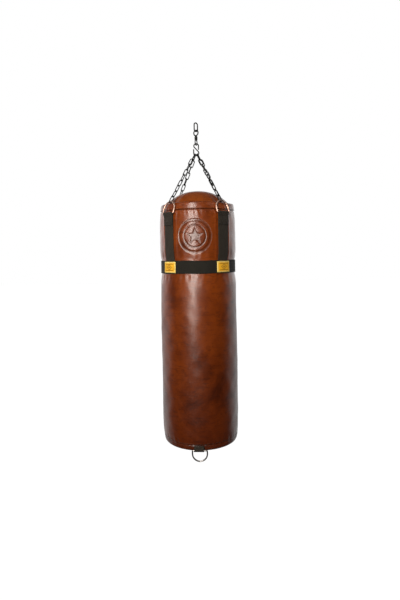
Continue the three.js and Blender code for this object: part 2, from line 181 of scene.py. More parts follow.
def face_out(mesh):
    """Turns every face of a mesh outwards."""
    work = bmesh.new()
    work.from_mesh(mesh)
    bmesh.ops.recalc_face_normals(work, faces=work.faces)
    work.to_mesh(mesh)
    work.free()
    return mesh


def grid_mesh(name, points, closed=(False, False), values=None, caps=False):
    """Quads over a (rows, columns, 3) array. closed joins the last row or column to the first,
    values are the rows' and columns' UV values, and caps fills the first and last row."""
    rows, columns, _ = points.shape
    i = np.arange(rows if closed[0] else rows - 1)
    j = np.arange(columns if closed[1] else columns - 1)
    i, j = (a.ravel() for a in np.meshgrid(i, j, indexing="ij"))
    i2, j2 = (i + 1) % rows, (j + 1) % columns
    quads = np.stack([i * columns + j, i * columns + j2, i2 * columns + j2, i2 * columns + j], 1)
    faces = quads.tolist()
    if caps:
        faces += [list(range(columns)), list(range((rows - 1) * columns, rows * columns))]
    mesh = bpy.data.meshes.new(name)
    mesh.from_pydata(points.reshape(-1, 3).tolist(), [], faces)
    if values is not None:
        along, across = values
        corner = np.stack([
            np.stack([across[j], along[i]], 1), np.stack([across[j + 1], along[i]], 1),
            np.stack([across[j + 1], along[i + 1]], 1), np.stack([across[j], along[i + 1]], 1),
        ], 1).reshape(-1, 2)
        spare = len(mesh.loops) - len(corner)
        corner = np.concatenate([corner, np.zeros((spare, 2))])
        mesh.uv_layers.new(name="UVMap").data.foreach_set("uv", corner.ravel())
    return face_out(mesh)


def set_attribute(mesh, name, values):
    """Gives each vertex a number that a material can read."""
    mesh.attributes.new(name, "FLOAT", "POINT").data.foreach_set("value", np.ravel(values))


NO_WIRE_RUNS_THIS_WAY = (0.31, 0.17, 0.94)
DOMED_END = (30, 60, 86)


def wire_mesh(name, points, radius, sides=20, closed=True):
    """Round wire along points, closed on itself or with domed ends."""
    p = np.asarray(points, float)
    tangent = np.roll(p, -1, 0) - np.roll(p, 1, 0) if closed else np.gradient(p, axis=0)
    tangent /= np.linalg.norm(tangent, axis=1)[:, None]
    side = np.cross(tangent[0], NO_WIRE_RUNS_THIS_WAY)
    side_at = []
    for t in tangent:
        side = side - t * side.dot(t)
        side /= np.linalg.norm(side)
        side_at.append(side)
    side_at = np.array(side_at)
    up_at = np.cross(tangent, side_at)
    size = np.full(len(p), radius)
    drift = 0.0
    if closed:
        drift = math.atan2(side_at[0].dot(up_at[-1]), side_at[0].dot(side_at[-1]))
    else:
        lean = np.radians(DOMED_END)
        ahead = radius * np.sin(lean)[:, None]
        extra = len(DOMED_END)
        pick = [0] * extra + list(range(len(p))) + [len(p) - 1] * extra
        size = np.concatenate([radius * np.cos(lean)[::-1], size, radius * np.cos(lean)])
        p = np.vstack([p[0] - tangent[0] * ahead[::-1], p, p[-1] + tangent[-1] * ahead])
        side_at, up_at = side_at[pick], up_at[pick]
    angle = np.arange(sides) * TAU / sides + np.linspace(0, drift, len(p), endpoint=False)[:, None]
    ring = np.cos(angle)[..., None] * side_at[:, None] + np.sin(angle)[..., None] * up_at[:, None]
    grid = p[:, None] + ring * size[:, None, None]
    return grid_mesh(name, grid, closed=(closed, True), caps=not closed)


def turned_mesh(name, profile, segments=64):
    """Solid of revolution about Z from (radius, z) pairs that start and end on the axis."""
    profile = np.asarray(profile, float)
    phi = np.arange(segments) * TAU / segments
    inner = profile[1:-1]
    rows = len(inner)
    grid = np.stack([
        inner[:, None, 0] * np.cos(phi), inner[:, None, 0] * np.sin(phi),
        np.repeat(inner[:, 1:], segments, 1),
    ], 2)
    verts = grid.reshape(-1, 3).tolist() + [[0, 0, profile[0, 1]], [0, 0, profile[-1, 1]]]
    low, high = len(verts) - 2, len(verts) - 1
    faces = []
    for i in range(rows - 1):
        here, above = i * segments, (i + 1) * segments
        for j in range(segments):
            k = (j + 1) % segments
            faces.append([here + j, here + k, above + k, above + j])
    last = (rows - 1) * segments
    for j in range(segments):
        k = (j + 1) % segments
        faces += [[low, k, j], [high, last + j, last + k]]
    mesh = bpy.data.meshes.new(name)
    mesh.from_pydata(verts, [], faces)
    return face_out(mesh)


def arc(centre, radius, start, end, steps):
    """Points of a flat arc, angles in degrees, the end left out."""
    a = np.radians(np.linspace(start, end, steps, endpoint=False))
    return np.stack([centre[0] + radius * np.cos(a), centre[1] + radius * np.sin(a)], 1)


def straight(start, end, steps):
    """Points of a flat line, the end left out."""
    t = np.linspace(0, 1, steps, endpoint=False)[:, None]
    return np.asarray(start) * (1 - t) + np.asarray(end) * t


# ---- materials --------------------------------------------------------------------------

class Finish:
    """A material being made: node() adds a node, sets its inputs and gives its first output."""

    def __init__(self, name):
        self.material = bpy.data.materials.new(name)
        self.material.use_nodes = True
        self.tree = self.material.node_tree
        self.tree.nodes.clear()
        self.output = self.tree.nodes.new("ShaderNodeOutputMaterial")
        self.coords = self.tree.nodes.new("ShaderNodeTexCoord")

    def node(self, kind, out=0, settings=None, **inputs):
        """A node and its output. An input is named, or is i0, i1 and so on where names repeat."""
        made = self.tree.nodes.new("ShaderNode" + kind)
        for key, value in (settings or {}).items():
            setattr(made, key, value)
        for key, value in inputs.items():
            numbered = key[0] == "i" and key[1:].isdigit()
            socket = made.inputs[int(key[1:]) if numbered else key.replace("_", " ")]
            if isinstance(value, bpy.types.NodeSocket):
                self.tree.links.new(value, socket)
            else:
                socket.default_value = value
        return made.outputs[out]

    def math(self, operation, a, b=0.0, c=0.0):
        """Sum of one kind on up to three numbers."""
        return self.node("Math", settings={"operation": operation}, i0=a, i1=b, i2=c)

    def object(self, scale=(1, 1, 1)):
        """Place on the piece, in metres, with each axis scaled."""
        return self.node("Mapping", Vector=self.coords.outputs["Object"], Scale=scale)

    def noise(self, vector, scale, detail=4.0, roughness=0.55, distortion=0.0):
        """Cloudy number, about 0.5 in the middle, its clouds smaller as scale grows."""
        return self.node("TexNoise", Vector=vector, Scale=scale, Detail=detail,
                         Roughness=roughness, Distortion=distortion)

    def ramp(self, factor, *stops):
        """Colour from (position, colour) stops."""
        made = self.tree.nodes.new("ShaderNodeValToRGB")
        self.tree.links.new(factor, made.inputs[0])
        points = made.color_ramp.elements
        while len(points) < len(stops):
            points.new(0.5)
        for point, (position, colour) in zip(points, stops):
            point.position = position
            point.color = (*colour, 1)
        return made.outputs[0]

    def mix(self, factor, a, b, blend="MIX"):
        """Colour a where factor is 0 and colour b where it is 1."""
        made = self.tree.nodes.new("ShaderNodeMix")
        made.data_type = "RGBA"
        made.blend_type = blend
        for index, value in ((0, factor), (6, a), (7, b)):
            if isinstance(value, bpy.types.NodeSocket):
                self.tree.links.new(value, made.inputs[index])
            elif index == 0:
                made.inputs[0].default_value = value
            else:
                made.inputs[index].default_value = (*value, 1)
        return made.outputs[2]

    def scale(self, value, low, high):
        """Maps 0 to 1 onto low to high."""
        return self.node("MapRange", Value=value, To_Min=low, To_Max=high)

    def attribute(self, name):
        """Number that the mesh holds for each vertex."""
        return self.node("Attribute", out=2, settings={"attribute_name": name})

    def bump(self, height, strength, distance, normal=None):
        """Fine relief on top of another relief."""
        inputs = {"Height": height, "Strength": strength, "Distance": distance}
        if normal is not None:
            inputs["Normal"] = normal
        return self.node("Bump", **inputs)

    def shade(self, **inputs):
        """Ends the material with its shader."""
        shader = self.tree.nodes.new("ShaderNodeBsdfPrincipled")
        for key, value in inputs.items():
            socket = shader.inputs[key.replace("_", " ")]
            if isinstance(value, bpy.types.NodeSocket):
                self.tree.links.new(value, socket)
            else:
                socket.default_value = value
        self.tree.links.new(shader.outputs[0], self.output.inputs[0])
        return self.material


# painted shade: the colour the lower body is darkened towards, standing in for the light falling off towards
# the foot
PAINTED_FOOT_SHADE = (0.46, 0.36, 0.28)
# painted shade in the seam grooves and round the stamp's edges, and the heat-pressed stamp's own darker
# leather
GROOVE_SHADE_AND_STAMP_DARK = (0.018, 0.006, 0.003)


def leather_material(name, tan, brown, dark):
    """Waxed pull-up leather: cloudy colour, dark marks, fine grain, a soft shine, painted shade towards the
    foot and in the seam grooves, and a darker stamp.
    """
    m = Finish(name)
    place = m.object()
    clouds = m.noise(place, 7.0, detail=6.0, roughness=0.62, distortion=0.6)
    drops = m.noise(m.object((1, 1, 0.22)), 26.0, detail=5.0, roughness=0.6, distortion=0.3)
    marks = m.noise(m.object((0.35, 0.35, 1.3)), 75.0, detail=5.0, roughness=0.68, distortion=1.2)
    base = m.ramp(clouds, (0.33, dark), (0.45, brown), (0.58, tan), (0.72, brown))
    base = m.mix(m.scale(drops, 0.0, 0.75), base, brown)
    spots = m.node("MapRange", Value=marks, From_Min=0.50, From_Max=0.70)
    base = m.mix(m.math("MULTIPLY", spots, 0.6), base, dark)
    height = m.node("SeparateXYZ", out=2, Vector=m.coords.outputs["Object"])
    # painted shade: the leather darkens from the band's middle down to the foot, where less light falls
    low = m.node("MapRange", Value=height, From_Min=BAND_MIDDLE, From_Max=FOOT)
    shade = m.math("MULTIPLY", low, 0.95)
    base = m.mix(shade, base, m.mix(1.0, base, PAINTED_FOOT_SHADE, "MULTIPLY"))
    # painted shade in the seam grooves and round the stamp's edges, mixed with the darker colour of the
    # heat-pressed stamp
    base = m.mix(m.math("MULTIPLY", m.attribute("groove"), 0.8), base, GROOVE_SHADE_AND_STAMP_DARK)
    grain = m.node("TexVoronoi", settings={"feature": "DISTANCE_TO_EDGE"}, Vector=place, Scale=520.0)
    pores = m.noise(place, 1100.0, detail=2.0, roughness=0.5)
    creases = m.noise(m.object((0.5, 0.5, 1.4)), 60.0, detail=6.0, roughness=0.7, distortion=0.8)
    grain_height = m.math("MULTIPLY", m.node("MapRange", Value=grain, From_Max=0.12), 0.6)
    grain_height = m.math("ADD", grain_height, m.math("MULTIPLY", pores, 0.5))
    normal = m.bump(creases, 0.22, 0.0012)
    normal = m.bump(grain_height, 0.15, 0.0004, normal)
    rough = m.scale(m.noise(place, 30.0, detail=5.0, roughness=0.6), 0.23, 0.40)
    return m.shade(Base_Color=base, Roughness=rough, Normal=normal, Specular_IOR_Level=0.5)


RIB = 2.6 * MM
WEFT = 1.5 * MM


def webbing_material(name, colour, light):
    """Heavy woven webbing: chevron ribs along the strap and fine weft across it, on UV in metres."""
    m = Finish(name)
    uv = m.coords.outputs["UV"]
    across = m.node("SeparateXYZ", out=0, Vector=uv)
    along = m.node("SeparateXYZ", out=1, Vector=uv)
    zig = m.math("PINGPONG", across, RIB)
    slant = m.math("ADD", m.math("MULTIPLY", along, TAU / WEFT), m.math("MULTIPLY", zig, 0.9 * TAU / RIB))
    twill = m.math("MULTIPLY_ADD", m.math("SINE", slant), 0.5, 0.5)
    rows = m.math("MULTIPLY_ADD", m.math("COSINE", m.math("MULTIPLY", across, TAU / RIB)), 0.5, 0.5)
    weave = m.math("MULTIPLY_ADD", rows, 0.5, m.math("MULTIPLY", twill, 0.5))
    fuzz = m.noise(m.object(), 900.0, 3.0, 0.6)
    fade = m.noise(m.object(), 22.0, 4.0, 0.6)
    base = m.mix(m.scale(weave, 0.0, 0.9), colour, light)
    base = m.mix(m.node("MapRange", Value=fade, From_Min=0.45, From_Max=0.8, To_Max=0.4), base, light)
    normal = m.bump(weave, 0.6, 0.0007)
    normal = m.bump(fuzz, 0.25, 0.0003, normal)
    return m.shade(Base_Color=base, Roughness=m.scale(fuzz, 0.68, 0.9), Normal=normal,
                   Specular_IOR_Level=0.2, Sheen_Weight=0.03, Sheen_Roughness=0.45)


def metal_material(name, colour, worn, rough, wear=0.35):
    """Plated or blackened metal with cloudy tarnish, rubbed spots and fine draw marks."""
    m = Finish(name)
    place = m.object()
    tarnish = m.noise(place, 130.0, 5.0, 0.6)
    rubbed = m.node("MapRange", Value=m.noise(place, 48.0, 4.0, 0.6), From_Min=0.5, From_Max=0.72)
    base = m.mix(m.scale(tarnish, 0.0, 0.55), colour, tuple(c * 0.45 for c in colour))
    base = m.mix(m.math("MULTIPLY", rubbed, wear), base, worn)
    draw = m.noise(place, 700.0, 3.0, 0.7)
    return m.shade(Base_Color=base, Metallic=1.0, Roughness=m.scale(tarnish, rough - 0.08, rough + 0.16),
                   Normal=m.bump(draw, 0.12, 0.0002))


def label_material():
    """Woven label: pale border, golden field with a plain lozenge and bars, on UV from 0 to 1."""
    m = Finish("golden_woven_label")

    def line_at(distance, middle, half_width):
        """1 on a woven line at a distance, 0 off it."""
        off = m.math("ABSOLUTE", m.math("SUBTRACT", distance, middle))
        return m.math("LESS_THAN", off, half_width)

    uv = m.coords.outputs["UV"]
    u = m.math("ABSOLUTE", m.math("SUBTRACT", m.node("SeparateXYZ", out=0, Vector=uv), 0.5))
    v = m.math("ABSOLUTE", m.math("SUBTRACT", m.node("SeparateXYZ", out=1, Vector=uv), 0.5))
    border = m.math("MAXIMUM", m.math("GREATER_THAN", u, 0.425), m.math("GREATER_THAN", v, 0.385))
    reach = m.math("ADD", m.math("MULTIPLY", u, 1.25), v)
    lozenge = line_at(reach, 0.25, 0.035)
    heart = m.math("LESS_THAN", reach, 0.10)
    bar = m.math("MULTIPLY", line_at(v, 0.29, 0.028), m.math("LESS_THAN", u, 0.34))
    figure = m.math("MAXIMUM", m.math("MAXIMUM", lozenge, heart), bar)
    threads = m.node("TexWave", settings={"bands_direction": "X"}, Vector=uv, Scale=26.0)
    picks = m.node("TexWave", settings={"bands_direction": "Y"}, Vector=uv, Scale=34.0)
    weave = m.math("MULTIPLY", threads, picks)
    field = m.mix(m.scale(weave, 0.0, 0.6), (0.70, 0.36, 0.015), (0.85, 0.50, 0.035))
    field = m.mix(m.math("MULTIPLY", figure, 0.8), field, (0.16, 0.06, 0.006))
    pale = m.mix(m.scale(weave, 0.0, 0.5), (0.85, 0.62, 0.15), (0.95, 0.80, 0.32))
    base = m.mix(border, field, pale)
    soil = m.noise(m.object(), 60.0, 4.0, 0.6)
    soiled = m.node("MapRange", Value=soil, From_Min=0.5, From_Max=0.8, To_Max=0.45)
    base = m.mix(soiled, base, (0.22, 0.12, 0.03))
    relief = m.math("ADD", m.math("MULTIPLY", border, 0.8), m.math("MULTIPLY", figure, 0.5))
    normal = m.bump(m.math("ADD", relief, m.math("MULTIPLY", weave, 0.35)), 0.6, 0.0006)
    return m.shade(Base_Color=base, Roughness=0.78, Normal=normal, Specular_IOR_Level=0.2)


def thread_material(name, colour):
    """Twisted thread, its plies shaded."""
    m = Finish(name)
    ply = m.noise(m.object(), 1500.0, 2.0, 0.5)
    base = m.mix(m.scale(ply, 0.0, 0.6), colour, tuple(c * 0.5 for c in colour))
    return m.shade(Base_Color=base, Roughness=0.6, Normal=m.bump(ply, 0.4, 0.0002))


def foam_material():
    """Closed cells of grey foam."""
    m = Finish("grey_foam_cells")
    cells = m.node("TexVoronoi", Vector=m.object(), Scale=350.0)
    base = m.mix(cells, (0.13, 0.13, 0.14), (0.25, 0.25, 0.26))
    return m.shade(Base_Color=base, Roughness=0.95, Normal=m.bump(cells, 0.5, 0.001))


def rag_material():
    """Pressed scraps of mixed cloth."""
    m = Finish("packed_textile")
    rags = m.noise(m.object(), 45.0, 6.0, 0.7, 2.0)
    base = m.ramp(rags, (0.3, (0.16, 0.14, 0.12)), (0.5, (0.36, 0.31, 0.25)), (0.7, (0.22, 0.26, 0.32)))
    return m.shade(Base_Color=base, Roughness=0.95, Normal=m.bump(rags, 0.8, 0.004))


BODY_LEATHER = leather_material(
    "waxed_brown_leather", tan=(0.215, 0.043, 0.004), brown=(0.135, 0.024, 0.002), dark=(0.034, 0.005, 0.001))
DOME_LEATHER = leather_material(
    "crown_leather", tan=(0.24, 0.053, 0.005), brown=(0.17, 0.035, 0.003), dark=(0.07, 0.013, 0.002))
BLACK_WEBBING = webbing_material(
    "black_nylon_webbing", colour=(0.008, 0.0066, 0.0048), light=(0.038, 0.031, 0.022))
BAND_WEBBING = webbing_material(
    "black_band_webbing", colour=(0.004, 0.0038, 0.003), light=(0.018, 0.016, 0.011))
GOLD_LABEL = label_material()
BLACK_STEEL = metal_material(
    "blackened_steel", colour=(0.022, 0.023, 0.021), worn=(0.14, 0.14, 0.13), rough=0.34)
COPPER = metal_material(
    "antique_copper", colour=(0.84, 0.55, 0.43), worn=(1.0, 0.84, 0.74), rough=0.40, wear=0.7)
NICKEL = metal_material(
    "dull_nickel", colour=(0.36, 0.35, 0.34), worn=(0.62, 0.61, 0.60), rough=0.28, wear=0.5)
BROWN_THREAD = thread_material("waxed_brown_thread", (0.055, 0.022, 0.010))
BLACK_THREAD = thread_material("black_thread", (0.012, 0.011, 0.010))
GOLD_THREAD = thread_material("golden_thread", (0.42, 0.27, 0.08))


# ---- bag --------------------------------------------------------------------------------

BADGE_ANGLE = math.radians(-94)
BADGE_Z = -464 * MM
BADGE_RADIUS = 66 * MM
BADGE_RING = 5 * MM
INNER_RING_RADIUS = 42 * MM
INNER_RING = 2.2 * MM
STAR_POINT = 33 * MM
STAR_NOTCH = 14 * MM
STAMP_EDGE = 1.6 * MM
BACK_SEAM = math.radians(90)

# relief of the soft leather, the puckers in millimetres
SWELL = 0.75 * MM
LUMPS = 0.28 * MM
GATHERS = 0.6 * MM
RIM_PUCKERS = 0.32
FOOT_PUCKERS = 0.45
BY_STRAPS = 1.0 * MM
UNDER_STRAPS = 0.2 * MM
RELIEF_LOW = -2.0 * MM
RELIEF_HIGH = 2.8 * MM

# how deep each line is pressed or drawn into the leather, and how far the hems swell
SEAM_WIDTH = 2.0 * MM
BACK_SEAM_WIDTH = 1.9 * MM
STAMP_DEPTH = 1.7 * MM
TOP_SEAM_DEPTH = 3.2 * MM
FOOT_SEAM_DEPTH = 1.4 * MM
BACK_SEAM_DEPTH = 1.8 * MM
RIM_SWELL = 1.4 * MM
FOOT_SWELL = 0.6 * MM
RIM_WAVE = 0.8 * MM
DOME_SAG = 1.5 * MM
FOOT_BELLY = 1.5 * MM


def star_edge(across, up, outer, inner):
    """Distance in from the edge of a five-pointed star, negative outside it."""
    turn = np.arctan2(across, up)
    fold = np.abs((turn + math.pi / 5) % (TAU / 5) - math.pi / 5)
    rho = np.hypot(across, up)
    x, y = rho * np.cos(fold), rho * np.sin(fold)
    ix, iy = inner * math.cos(math.pi / 5), inner * math.sin(math.pi / 5)
    length = math.hypot(outer - ix, iy)
    return ((outer - x) * iy - y * (outer - ix)) / length


def badge(phi, z):
    """Blind stamp in the leather, 0 to 1: two rings round a plain star."""
    across = round_from(phi, BADGE_ANGLE)
    up = z - BADGE_Z
    rho = np.hypot(across, up)
    soft = STAMP_EDGE
    outer_ring = ease(np.abs(rho - BADGE_RADIUS + BADGE_RING), BADGE_RING + soft, BADGE_RING - soft)
    inner_ring = ease(np.abs(rho - INNER_RING_RADIUS), INNER_RING + soft, INNER_RING - soft)
    star = ease(star_edge(across, up, STAR_POINT, STAR_NOTCH), -soft, soft)
    return np.maximum(np.maximum(outer_ring, inner_ring), star)


def strap_cover(phi, z, grow=0.0):
    """1 where a strap lies on the leather, with soft edges."""
    cover = 0.0
    for angle in CORNERS.values():
        turn = np.abs(round_from(phi, math.radians(angle)))
        edge = WEBBING_WIDTH / 2 + grow
        cover = np.maximum(cover, ease(turn, edge + 7 * MM, edge + 1 * MM))
    low, high = BAND_LOW.z - 4 * MM, TOP_SEAM - 8 * MM
    return cover * ease(z, low - 8 * MM, low) * ease(z, high + 8 * MM, high)


def leather_relief(phi, z):
    """How far the soft leather stands out of its plain round shape."""
    swell = SWELL * ripple(phi, z, 11, (2, 5), (0.3, 0.8))
    lumps = LUMPS * ripple(phi, z, 12, (7, 18), (0.05, 0.16))
    by_band = near(np.abs(z - BAND_MIDDLE), 34 * MM, 26 * MM)
    gathers = GATHERS * ripple(phi, z, 13, (18, 40), (0.10, 0.35)) * by_band
    depth = RIM_PUCKERS * near(z - TOP_SEAM, -8 * MM, 16 * MM)
    depth = depth + FOOT_PUCKERS * near(z - FOOT_SEAM, 9 * MM, 16 * MM)
    puckers = MM * ripple(phi, z, 14, (30, 56), (0.05, 0.3)) * depth
    total = swell + lumps + gathers + puckers
    band = ease(np.abs(z - BAND_MIDDLE), WEBBING_WIDTH / 2 + 9 * MM, WEBBING_WIDTH / 2 + 1 * MM)
    cover = np.maximum(strap_cover(phi, z), band)
    edges = strap_cover(phi, z, 9 * MM) * (1 - cover)
    total = np.clip(total, RELIEF_LOW, RELIEF_HIGH) * (1 - cover) + BY_STRAPS * edges
    return total - UNDER_STRAPS * cover


def leather_columns():
    """Angles round the bag, closest together at the badge in front and at the back seam."""
    stops = ((-165, 180), (-25, 54), (86, 14), (94, 52), (195, 0))
    parts = [np.linspace(a, b, n, endpoint=False) for (a, n), (b, _) in zip(stops, stops[1:])]
    return np.radians(np.concatenate(parts))


def leather_rows():
    """Closed profile as rows of (distance out, height, softness)."""
    lip = HEM / 2
    rows = [(-HEM, TOP_SEAM, 0), (-HEM, (TOP_SEAM + RIM_TOP) / 2, 0)]
    for out, up in arc((-lip, RIM_TOP - lip), lip, 180, 0, 12):
        rows.append((out, up, 0))
    stops = (
        (RIM_TOP - lip, 7), (TOP_SEAM + 6 * MM, 13), (TOP_SEAM - 6 * MM, 16), (-400 * MM, 60),
        (-530 * MM, 160), (FOOT_SEAM + 7 * MM, 15), (FOOT_SEAM - 7 * MM, 3), (FOOT + FOOT_ROUND, 0),
    )
    for (high, count), (low, _) in zip(stops, stops[1:]):
        rows += [(0, z, 1) for z in np.linspace(high, low, count, endpoint=False)]
    for out, up in arc((-FOOT_ROUND, FOOT + FOOT_ROUND), FOOT_ROUND, 0, -90, 8):
        rows.append((out, up, 0.3))
    rows += [(-HEM, FOOT, 0), (-HEM, FOOT_SEAM, 0)]
    rows += [(-LEATHER, z, 0) for z in np.linspace(FOOT_SEAM + 3 * MM, TOP_SEAM - 4 * MM, 14)]
    return np.array(rows)


def seam_dips(phi, z):
    """1 in the bottom of the rim, foot and back seams."""
    turn = np.abs(round_from(phi, BACK_SEAM))
    top = near(z, TOP_SEAM, SEAM_WIDTH) + 0 * phi
    foot = near(z, FOOT_SEAM, SEAM_WIDTH) + 0 * phi
    back = near(turn, 0, BACK_SEAM_WIDTH) + 0 * z
    return top, foot, back


def leather_radius(phi, z, soft=1.0):
    """Radius of the finished outer face of the leather."""
    top, foot, back = seam_dips(phi, z)
    rim = np.sin(np.pi * np.clip((z - TOP_SEAM) / (RIM_TOP - TOP_SEAM), 0, 1))
    base = np.sin(np.pi * np.clip((FOOT_SEAM - z) / (FOOT_SEAM - FOOT), 0, 1))
    tuck = FOOT_TUCK * ease(z, FOOT + FOOT_TUCK_HEIGHT, FOOT) ** 1.6
    relief = leather_relief(phi, z) * soft + RIM_SWELL * rim + FOOT_SWELL * base - tuck
    relief = relief - TOP_SEAM_DEPTH * top - FOOT_SEAM_DEPTH * foot
    relief = relief - BACK_SEAM_DEPTH * back - STAMP_DEPTH * badge(phi, z)
    return bag_radius(z) + relief


def make_leather_body():
    """Leather cylinder with its hems, seams, stamp and soft relief, as one closed skin."""
    out, z, soft = (column[:, None] for column in leather_rows().T)
    phi = leather_columns()[None, :]
    outside = soft > 0
    lip = (z > TOP_SEAM) & (out > -HEM / 2)
    face = np.where(outside | lip, leather_radius(phi, z, soft), bag_radius(z))
    radius = face + out
    radius = radius - pinch(radius, phi, z)
    height = z + RIM_WAVE * ripple(phi, 0 * z, 15, (3, 11), (0.3, 0.6)) * ease(z, TOP_SEAM, RIM_TOP)
    mesh = grid_mesh("leather_body", on_round(radius, phi, height), closed=(True, True))
    stamp = badge(phi, z) * outside
    dips = [dip * outside for dip in seam_dips(phi, z)]
    # groove: where painted shade goes in the seams and stamp edges, and where the stamp's own darker leather
    # is
    groove = np.maximum.reduce([dips[0], 0.45 * dips[1], dips[2], 3 * stamp * (1 - stamp), 0.4 * stamp])
    set_attribute(mesh, "groove", groove)
    body = finish_object("leather_body", mesh, BODY_LEATHER)
    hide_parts("leather_shell")
    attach(body, "bag")


def make_dome():
    """Crowned closure: a shallow padded dome whose skirt stands inside the rim."""
    phi = np.radians(np.arange(0, 360, 2.0))[None, :]
    edge_z = DOME_TOP - DOME_RISE
    crown = np.linspace(0.03, 1, 60) ** 0.8
    rows = [(r * DOME_SKIRT, DOME_TOP - DOME_RISE * r ** DOME_POWER, r) for r in crown]
    rows += [(DOME_SKIRT, edge_z - drop * MM, 0) for drop in (3, 8, 16, 24)]
    rows = np.array(rows)
    radius, z, soft = (column[:, None] for column in rows.T)
    swell = 0.8 * MM * ripple(phi, radius, 21, (2, 5), (0.05, 0.16))
    by_edge = ease(radius, 0.45 * DOME_SKIRT, DOME_SKIRT)
    pleats = 1.3 * MM * ripple(phi, radius, 22, (9, 22), (0.12, 0.4)) * by_edge
    z = z + (swell + pleats) * soft - DOME_SAG * soft
    radius = radius - pinch(radius, phi, z)
    mesh = grid_mesh("dome_crown", on_round(radius, phi, z), closed=(False, True), caps=True)
    dome = finish_object("dome_crown", mesh, DOME_LEATHER)
    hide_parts("dome_cap")
    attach(dome, "bag")


def make_foot_panel():
    """Round leather disc inside the foot hem, bellied a little by the filling."""
    low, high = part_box("bottom_panel")
    edge = (high.x - low.x) / 2 - 0.5 * MM
    profile = [(0, low.z - FOOT_BELLY)]
    for share in np.linspace(0.08, 1, 14):
        profile.append((edge * share, low.z - FOOT_BELLY * (1 - share ** 2)))
    profile += [(edge, high.z), (0, high.z)]
    mesh = turned_mesh("foot_panel", profile, 96)
    panel = finish_object("foot_panel", mesh, BODY_LEATHER)
    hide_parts("bottom_panel")
    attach(panel, "bag")


make_leather_body()
make_dome()
make_foot_panel()


# ---- webbing and labels -----------------------------------------------------------------

WEBBING_TRIM = 1 * MM
FOLD_GAP = 0.5 * MM
BAND_GAP = 0.5 * MM
BAND_THINNER = 0.2 * MM
BAND_SAG = 0.7 * MM
BAND_STEP = 1.25


def place_round(points, across, angle, bend):
    """World places of (radius, z) points carried sideways by across, bent round the bag by bend."""
    out, side = around(angle)
    radius, z = points[:, :1], points[:, 1:]
    turn = across / radius
    x = radius * (np.cos(turn) * bend + 1 - bend)
    y = radius * np.sin(turn) * bend + across * (1 - bend)
    return x[..., None] * out + y[..., None] * side + z[..., None] * np.array([0, 0, 1.0])


def strip_section(width, thickness, columns=22):
    """Cross-section loop of a strip as (across, out of the middle) pairs, its edges round."""
    half = width / 2 - thickness / 2
    top = np.linspace(-half, half, columns)
    edge = np.radians([60, 30, 0, -30, -60])
    loop = [(u, thickness / 2) for u in top]
    loop += [(half + thickness / 2 * math.cos(a), thickness / 2 * math.sin(a)) for a in edge]
    loop += [(u, -thickness / 2) for u in top[::-1]]
    loop += [(-half - thickness / 2 * math.cos(a), -thickness / 2 * math.sin(a)) for a in edge]
    return np.array(loop)


def strip_mesh(name, path, width, angle, flat_above):
    """Webbing swept along a path of (radius, z) points at an angle round the bag. It bends round
    the bag below flat_above and is flat over it."""
    path = np.asarray(path, float)
    run = np.gradient(path, axis=0)
    run /= np.linalg.norm(run, axis=1)[:, None]
    normal = np.stack([run[:, 1], -run[:, 0]], 1)
    length = np.concatenate([[0], np.cumsum(np.linalg.norm(np.diff(path, axis=0), axis=1))])
    section = strip_section(width, WEBBING)
    bend = ease(path[:, 1], flat_above, flat_above - 30 * MM)
    columns = []
    for u, w in section:
        spot = path + normal * w
        columns.append(place_round(spot, np.full((len(path), 1), u), angle, bend[:, None])[:, 0])
    points = np.stack(columns, 1)
    along = np.append(length, length[-1])
    across = np.append(section[:, 0], section[0, 0])
    return grid_mesh(name, points, closed=(False, True), values=(along, across), caps=True)


RING_BAR_RADIUS = float(bag_radius(RING_BAR_Z)) + WEBBING + RING_WIRE / 2 + 3 * SLACK
FOLD_RADIUS = RING_WIRE / 2 + SLACK + WEBBING / 2


def strap_path():
    """Middle of the strap: up under the band, over the ring's bar and down to the stitched end."""
    foot = BAND_LOW.z + 1 * MM
    fold_end = RING_BAR_Z - FOLD_LENGTH
    doubled = RING_BAR_Z - FOLD_MOUTH
    up = [(float(bag_radius(z)) + SLACK + WEBBING / 2, z) for z in np.linspace(foot, doubled, 60)]
    turn = [
        (RING_BAR_RADIUS + FOLD_RADIUS * math.cos(a), RING_BAR_Z + FOLD_RADIUS * math.sin(a))
        for a in np.radians(np.linspace(200, -35, 20))
    ]
    drop = doubled - 3 * MM
    back = [(float(bag_radius(z)) + FOLD_GAP + 1.5 * WEBBING, z) for z in np.linspace(drop, fold_end, 14)]
    return up + turn + back


def make_strap(corner, angle):
    """Vertical strap with its fold round the D ring's bar."""
    mesh = strip_mesh("webbing", strap_path(), WEBBING_WIDTH - WEBBING_TRIM, angle, RING_BAR_Z - 10 * MM)
    strap = finish_object("strap_webbing_" + corner, mesh, BLACK_WEBBING)
    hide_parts("strap_" + corner)
    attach(strap, "bag")


def band_lay(phi, z):
    """Inner face of the cinched band: on the leather, and stepped over the straps."""
    over = 0.0
    for angle in CORNERS.values():
        turn = np.abs(round_from(phi, math.radians(angle)))
        over = np.maximum(over, ease(turn, WEBBING_WIDTH / 2 + 14 * MM, WEBBING_WIDTH / 2 - 1 * MM))
    return bag_radius(z) + BAND_GAP + (WEBBING + BAND_THINNER) * over


